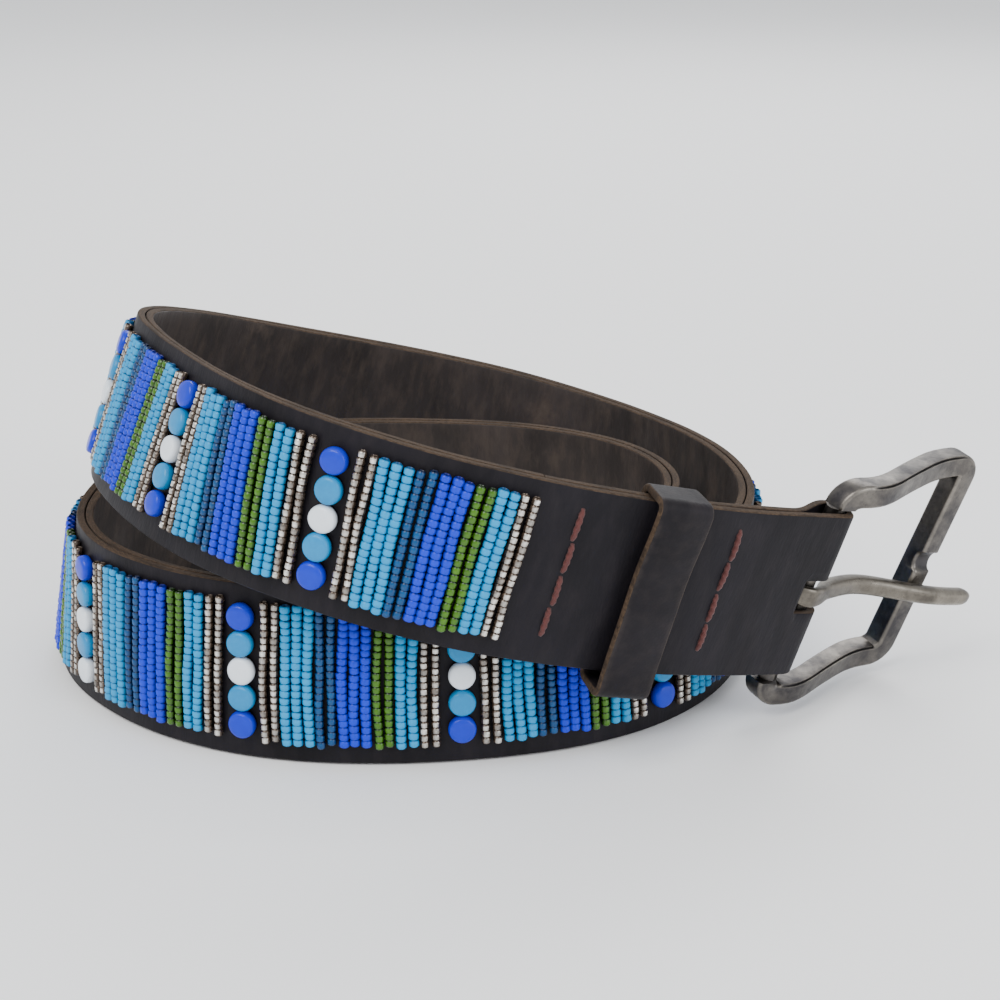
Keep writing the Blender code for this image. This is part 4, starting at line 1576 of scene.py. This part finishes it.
@dataclass
class Buckle:
    """The cast frame with its bar, and the prong that swings on it."""

    route: BeltRoute
    section: float = 0.0055
    edge_rounding: float = 0.0009
    reach: float = 0.039
    side_clearance: float = 0.0025
    slip: float = 0.0013
    rack: float = 0.0078
    skew: float = 0.003
    set_back: float = 0.0034
    corner_slack: float = 0.0005
    notch_width: float = 0.0048
    notch_depth: float = 0.0015
    overhang: float = 0.0148
    prong_drop: float = 0.0005
    prong_width: float = 0.0047
    prong_thickness: float = 0.0039
    wrap_thickness: float = 0.0020
    prong_sag: float = 0.0026
    prong_rise: float = 0.0011
    prong_end_rise: float = 1.3
    prong_narrowing: float = 0.16
    prong_point_share: float = 0.03
    prong_rounding_share: float = 0.8
    prong_swell_share: float = 0.25
    prong_steps: int = 54
    prong_end_steps: int = 8
    prong_steps_left_out: int = 4
    wrap_start: float = -60.0
    wrap_turn: float = -10.0
    wrap_steps: int = 22
    slope_step: float = 0.0001
    crease_depth: float = 0.0003
    crease_from: float = 0.10
    crease_to: float = 0.97
    # crease_painted_shade darkens the arms' crease line: painted shade
    crease_painted_shade: float = -0.9
    bar_wear: float = 0.3
    prong_wear: float = 0.6
    prong_end_wear: float = 0.5
    prong_end_worn: float = 0.012
    corner_steps: int = 8
    arm_steps: int = 19
    notch_steps: int = 24
    notch_run: float = 1.25
    end_shares: tuple[float, ...] = (0.8, 0.6, 0.45, 0.3, 0.2)

    # (share of the reach, share of the set-back) and (share of the reach, share of the sag)
    contour = ((0.00, 0.00), (0.15, -0.56), (0.27, -0.46), (0.42, 0.08), (0.60, 0.72), (0.78, 1.18),
               (0.90, 1.16), (1.00, 1.00))
    sag_course = ((0.08, -0.95), (0.16, -0.20), (0.28, 0.45), (0.50, 1.00), (0.68, 0.55))

    @property
    def half_section(self) -> float:
        """Half the frame's thickness."""
        return self.section / 2

    @property
    def half_height(self) -> float:
        """Half the height between the arms' middles."""
        return SIZES.half + self.side_clearance + self.half_section

    @cached_property
    def bar(self) -> Station:
        """The bar's middle, with its directions."""
        here = self.route.at(SIZES.fold_outer)
        return Station(here.place(0.0, SIZES.bar_out), here.tangent, here.across, here.out)

    @cached_property
    def arm_course(self) -> Callable[[float], np.ndarray]:
        """How the arms bend away from the beaded face."""
        return natural_spline([row[0] for row in self.contour], [[row[1]] for row in self.contour])

    def arm_set_back(self, share: float) -> float:
        """Give how far the frame lies behind its bar at a share of its reach."""
        return self.set_back * float(self.arm_course(min(max(share, 0.0), 1.0))[0])

    @staticmethod
    def section_outline(wide: float, deep: float, rounding: float, steps: int = 5) -> list:
        """Give a bar's section.

        Args:
            wide: its half width.
            deep: its half depth.
            rounding: the radius of its corners.
            steps: how many points each corner has.

        Returns:
            Points (side, depth, how much the place is worn bright).
        """
        points = []
        for side, depth in ((1, 1), (-1, 1), (-1, -1), (1, -1)):
            arc = []
            for k in range(steps):
                angle = math.pi / 2 * k / (steps - 1)
                wear_and_painted_shade = math.sin(2 * angle)
                arc.append((side * (wide - rounding + rounding * math.cos(angle)),
                            depth * (deep - rounding + rounding * math.sin(angle)), wear_and_painted_shade))
            points += arc if side * depth > 0 else arc[::-1]
        return points

    def frame_path(self) -> list[tuple[float, float, float, bool]]:
        """Give the closed path: (reach, height, turn of the outward side, is it the bar)."""
        corner = self.half_section + self.corner_slack
        top = self.half_height
        path = []

        def add_corner(reach: float, height: float, start: float) -> None:
            """Add one rounded corner."""
            for k in range(self.corner_steps + 1):
                angle = math.radians(start - 90 * k / self.corner_steps)
                path.append((reach + corner * math.cos(angle), height + corner * math.sin(angle),
                             angle, False))

        def add_arm(height: float, angle: float, backwards: bool) -> None:
            """Add one arm."""
            shares = [k / self.arm_steps for k in range(1, self.arm_steps)]
            for share in reversed(shares) if backwards else shares:
                path.append((corner + (self.reach - 2 * corner) * share, height, angle, False))

        bar_end = top - corner - SIZES.gap
        add_corner(corner, top - corner, 180)
        add_arm(top, math.pi / 2, False)
        add_corner(self.reach - corner, top - corner, 90)
        for share in self.end_shares:
            path.append((self.reach, (top - corner) * share, 0.0, False))
        for k in range(self.notch_steps + 1):
            share = self.notch_run * math.cos(math.pi * k / self.notch_steps)
            path.append((self.reach, self.notch_width / 2 * share, 0.0, False))
        for share in reversed(self.end_shares):
            path.append((self.reach, (corner - top) * share, 0.0, False))
        add_corner(self.reach - corner, corner - top, 0)
        add_arm(-top, -math.pi / 2, True)
        add_corner(corner, corner - top, -90)
        path.append((0.0, -bar_end, math.pi, True))
        path.append((0.0, bar_end, math.pi, True))
        return path

    def notch_at(self, reach: float, height: float) -> float:
        """Give how deep the prong's seat is cut at a place on the frame."""
        share = height / (self.notch_width / 2)
        if reach < self.reach - SIZES.gap or abs(share) >= 1:
            return 0.0
        return self.notch_depth * math.sqrt(1 - share * share)

    def crease_at(self, share: float, angle: float, is_bar: bool) -> int:
        """Give the section point that the arm's crease lies on, or -1 where there is none."""
        if is_bar or not self.crease_from < share < self.crease_to or abs(math.cos(angle)) > 0.01:
            return -1
        return 2 if angle > 0 else 7

    def build_frame(self) -> bpy.types.Object:
        """Make the frame and its bar as one closed loop."""
        bar = self.bar
        square = self.section_outline(self.half_section, self.half_section, self.edge_rounding)
        circle = self.section_outline(SIZES.bar_radius, SIZES.bar_radius, SIZES.bar_radius)
        rings, wear = [], []
        for reach, height, angle, is_bar in self.frame_path():
            share = reach / self.reach
            lean = self.rack * share - self.slip
            back = self.arm_set_back(share)
            skew = 0.0 if is_bar else self.skew * height / (2 * self.half_height)
            ring = []
            crease = self.crease_at(share, angle, is_bar)
            for k, (side, depth, wear_and_painted_shade) in enumerate(circle if is_bar else square):
                if k == crease:
                    side -= math.copysign(self.crease_depth, side)
                    depth -= self.crease_depth
                    # The crease is painted dark: painted shade
                    wear_and_painted_shade = self.crease_painted_shade
                seat = self.notch_at(reach, height) if depth > 0 and not is_bar else 0.0
                # The prong's notch is painted darker by its depth: painted shade in the seat
                wear_and_painted_shade -= seat / self.notch_depth
                across = height + lean + side * math.sin(angle)
                away = reach + skew + side * math.cos(angle)
                ring.append(bar.place(across, depth - seat - back, -away))
                wear.append(self.bar_wear if is_bar else wear_and_painted_shade)
            rings.append(ring)
        piece = loft("buckle_casting", rings, [FRAME_METAL.make()], closed=True)
        give_attribute(piece.data, "wear_and_painted_shade", "FLOAT", wear)
        return piece

    def prong_path(self) -> list[tuple[float, float, float, float, bool]]:
        """Give the prong's (reach, out, heading, half thickness, is it the tongue) places."""
        wrap_half = self.wrap_thickness / 2
        wrap_radius = SIZES.bar_radius + SIZES.gap + wrap_half
        path = []
        for k in range(self.wrap_steps):
            angle = math.radians(self.wrap_start + self.wrap_turn * k)
            path.append((wrap_radius * math.cos(angle), wrap_radius * math.sin(angle),
                         angle - math.pi / 2, wrap_half, False))
        seat = self.half_section - self.arm_set_back(1.0) + SIZES.gap + self.prong_thickness / 2
        end = self.reach + self.overhang
        reaches = [0.0] + [self.reach * row[0] for row in self.sag_course]
        reaches += [self.reach - self.half_section, self.reach + self.half_section, end]
        levels = [wrap_radius] + [-self.prong_sag * row[1] for row in self.sag_course]
        levels += [seat, seat + self.prong_rise, seat + self.prong_rise * self.prong_end_rise]
        course = natural_spline(reaches, [[level] for level in levels])
        last = self.prong_steps - self.prong_steps_left_out
        places = [end * k / self.prong_steps for k in range(1, last)]
        turns = [math.pi / 2 * k / self.prong_end_steps for k in range(self.prong_end_steps + 1)]
        places += [end - self.prong_thickness * (1 - math.sin(turn)) for turn in turns]
        for reach in places:
            climb = course(reach + self.slope_step) - course(reach - self.slope_step)
            rise = float(climb[0]) / (2 * self.slope_step)
            grown = smooth_step(reach / (self.reach * self.prong_swell_share))
            half = wrap_half + (self.prong_thickness / 2 - wrap_half) * grown
            path.append((reach, float(course(reach)[0]), math.atan(rise), half, True))
        return path

    def build_prong(self) -> bpy.types.Object:
        """Make the prong, wrapped round the bar and drawn to a rounded point."""
        bar = self.bar
        path = self.prong_path()
        end = path[-1][0]
        rings, wear = [], []
        for reach, out, heading, half, is_tongue in path:
            taper = 1.0
            left = end - reach
            if is_tongue and left < self.prong_thickness:
                closeness = 1 - left / self.prong_thickness
                taper = math.sqrt(max(self.prong_point_share, 1 - closeness ** 2))
            narrowing = self.prong_narrowing * (reach / end if is_tongue else 0.0)
            wide = self.prong_width / 2 * (1 - narrowing) * taper
            deep = half * taper
            rounding = min(wide, deep) * self.prong_rounding_share
            place = bar.place(-self.prong_drop, out, -reach)
            across_path = bar.tangent * math.sin(heading) + bar.out * math.cos(heading)
            ring = []
            worn = self.prong_end_wear if left < self.prong_end_worn else 0.0
            for side, depth, wear_and_painted_shade in self.section_outline(wide, deep, rounding):
                ring.append(place + bar.across * side + across_path * depth)
                wear.append(wear_and_painted_shade * self.prong_wear + worn)
            rings.append(ring)
        piece = loft("buckle_tongue", rings, [PRONG_METAL.make()])
        give_attribute(piece.data, "wear_and_painted_shade", "FLOAT", wear)
        return piece

    def build(self) -> None:
        """Make the frame and the prong, each on its own body."""
        dress(self.build_frame(), "buckle", "buckle_frame")
        dress(self.build_prong(), "prong", "prong")


@dataclass
class Studio:
    """The camera at the photograph's angle, a pale floor and soft lights."""

    shift: Vector
    place: Colour = (0.0, -0.4651, 0.1943)
    tilt: float = 70.0
    lens: float = 68.4
    sensor: float = 36.0
    clip_start: float = 0.01
    clip_end: float = 20.0
    floor_side: float = 8.0
    aim_height: float = 0.03
    world: float = 1.05
    world_colour: Colour = (0.95, 0.97, 1.0)

    # (name, place, side, watts, colour) of each soft light
    lights = (
        ("key", (-0.55, -0.75, 1.15), 0.9, 16.0, (1.0, 0.985, 0.96)),
        ("fill", (0.95, -0.70, 0.55), 0.8, 6.0, (0.93, 0.96, 1.0)),
        ("rim", (0.25, 0.95, 0.85), 0.7, 7.0, (1.0, 1.0, 1.0)),
    )

    def build_camera(self) -> None:
        """Set the camera."""
        lens = bpy.data.cameras.new("camera")
        lens.lens = self.lens
        lens.sensor_width = self.sensor
        lens.clip_start = self.clip_start
        lens.clip_end = self.clip_end
        camera = put_in_scene("camera", lens)
        camera.location = Vector(self.place) + self.shift
        camera.rotation_euler = (math.radians(self.tilt), 0.0, 0.0)
        bpy.context.scene.camera = camera

    def build_floor(self) -> None:
        """Lay the floor."""
        half = self.floor_side / 2
        mesh = bpy.data.meshes.new("floor")
        corners = [(-half, -half, 0), (half, -half, 0), (half, half, 0), (-half, half, 0)]
        mesh.from_pydata(corners, [], [(0, 1, 2, 3)])
        mesh.materials.append(FloorFinish().make())
        put_in_scene("floor", mesh)

    def add_light(self, name: str, place: Colour, size: float, power: float,
                  colour: Colour) -> None:
        """Hang one soft light that looks at the belt.

        Args:
            name: the light's name.
            place: where it hangs.
            size: its side.
            power: its power in watts.
            colour: its colour.
        """
        light = bpy.data.lights.new(name, "AREA")
        light.shape = "SQUARE"
        light.size = size
        light.energy = power
        light.color = colour
        lamp = put_in_scene(name, light)
        lamp.location = place
        aim = Vector((0.0, 0.0, self.aim_height)) - Vector(place)
        lamp.rotation_euler = aim.to_track_quat("-Z", "Y").to_euler()

    def build(self) -> None:
        """Set camera, floor, lights and the pale surround."""
        self.build_camera()
        self.build_floor()
        for light in self.lights:
            self.add_light(*light)
        world = bpy.context.scene.world or bpy.data.worlds.new("surround")
        bpy.context.scene.world = world
        world.use_nodes = True
        surround = world.node_tree.nodes["Background"]
        surround.inputs["Color"].default_value = (*self.world_colour, 1.0)
        surround.inputs["Strength"].default_value = self.world
        LOG.info("studio ready")


def main() -> None:
    """Build the belt's pieces in order."""
    logging.basicConfig(level=logging.INFO, format="%(name)s: %(message)s")
    route = belt_route()
    Studio(route.shift).build()
    Strap(route).build()
    Keeper(route).build()
    Beadwork(route).build()
    Stitching(route).build()
    Buckle(route).build()


if __name__ == "__main__":
    main()
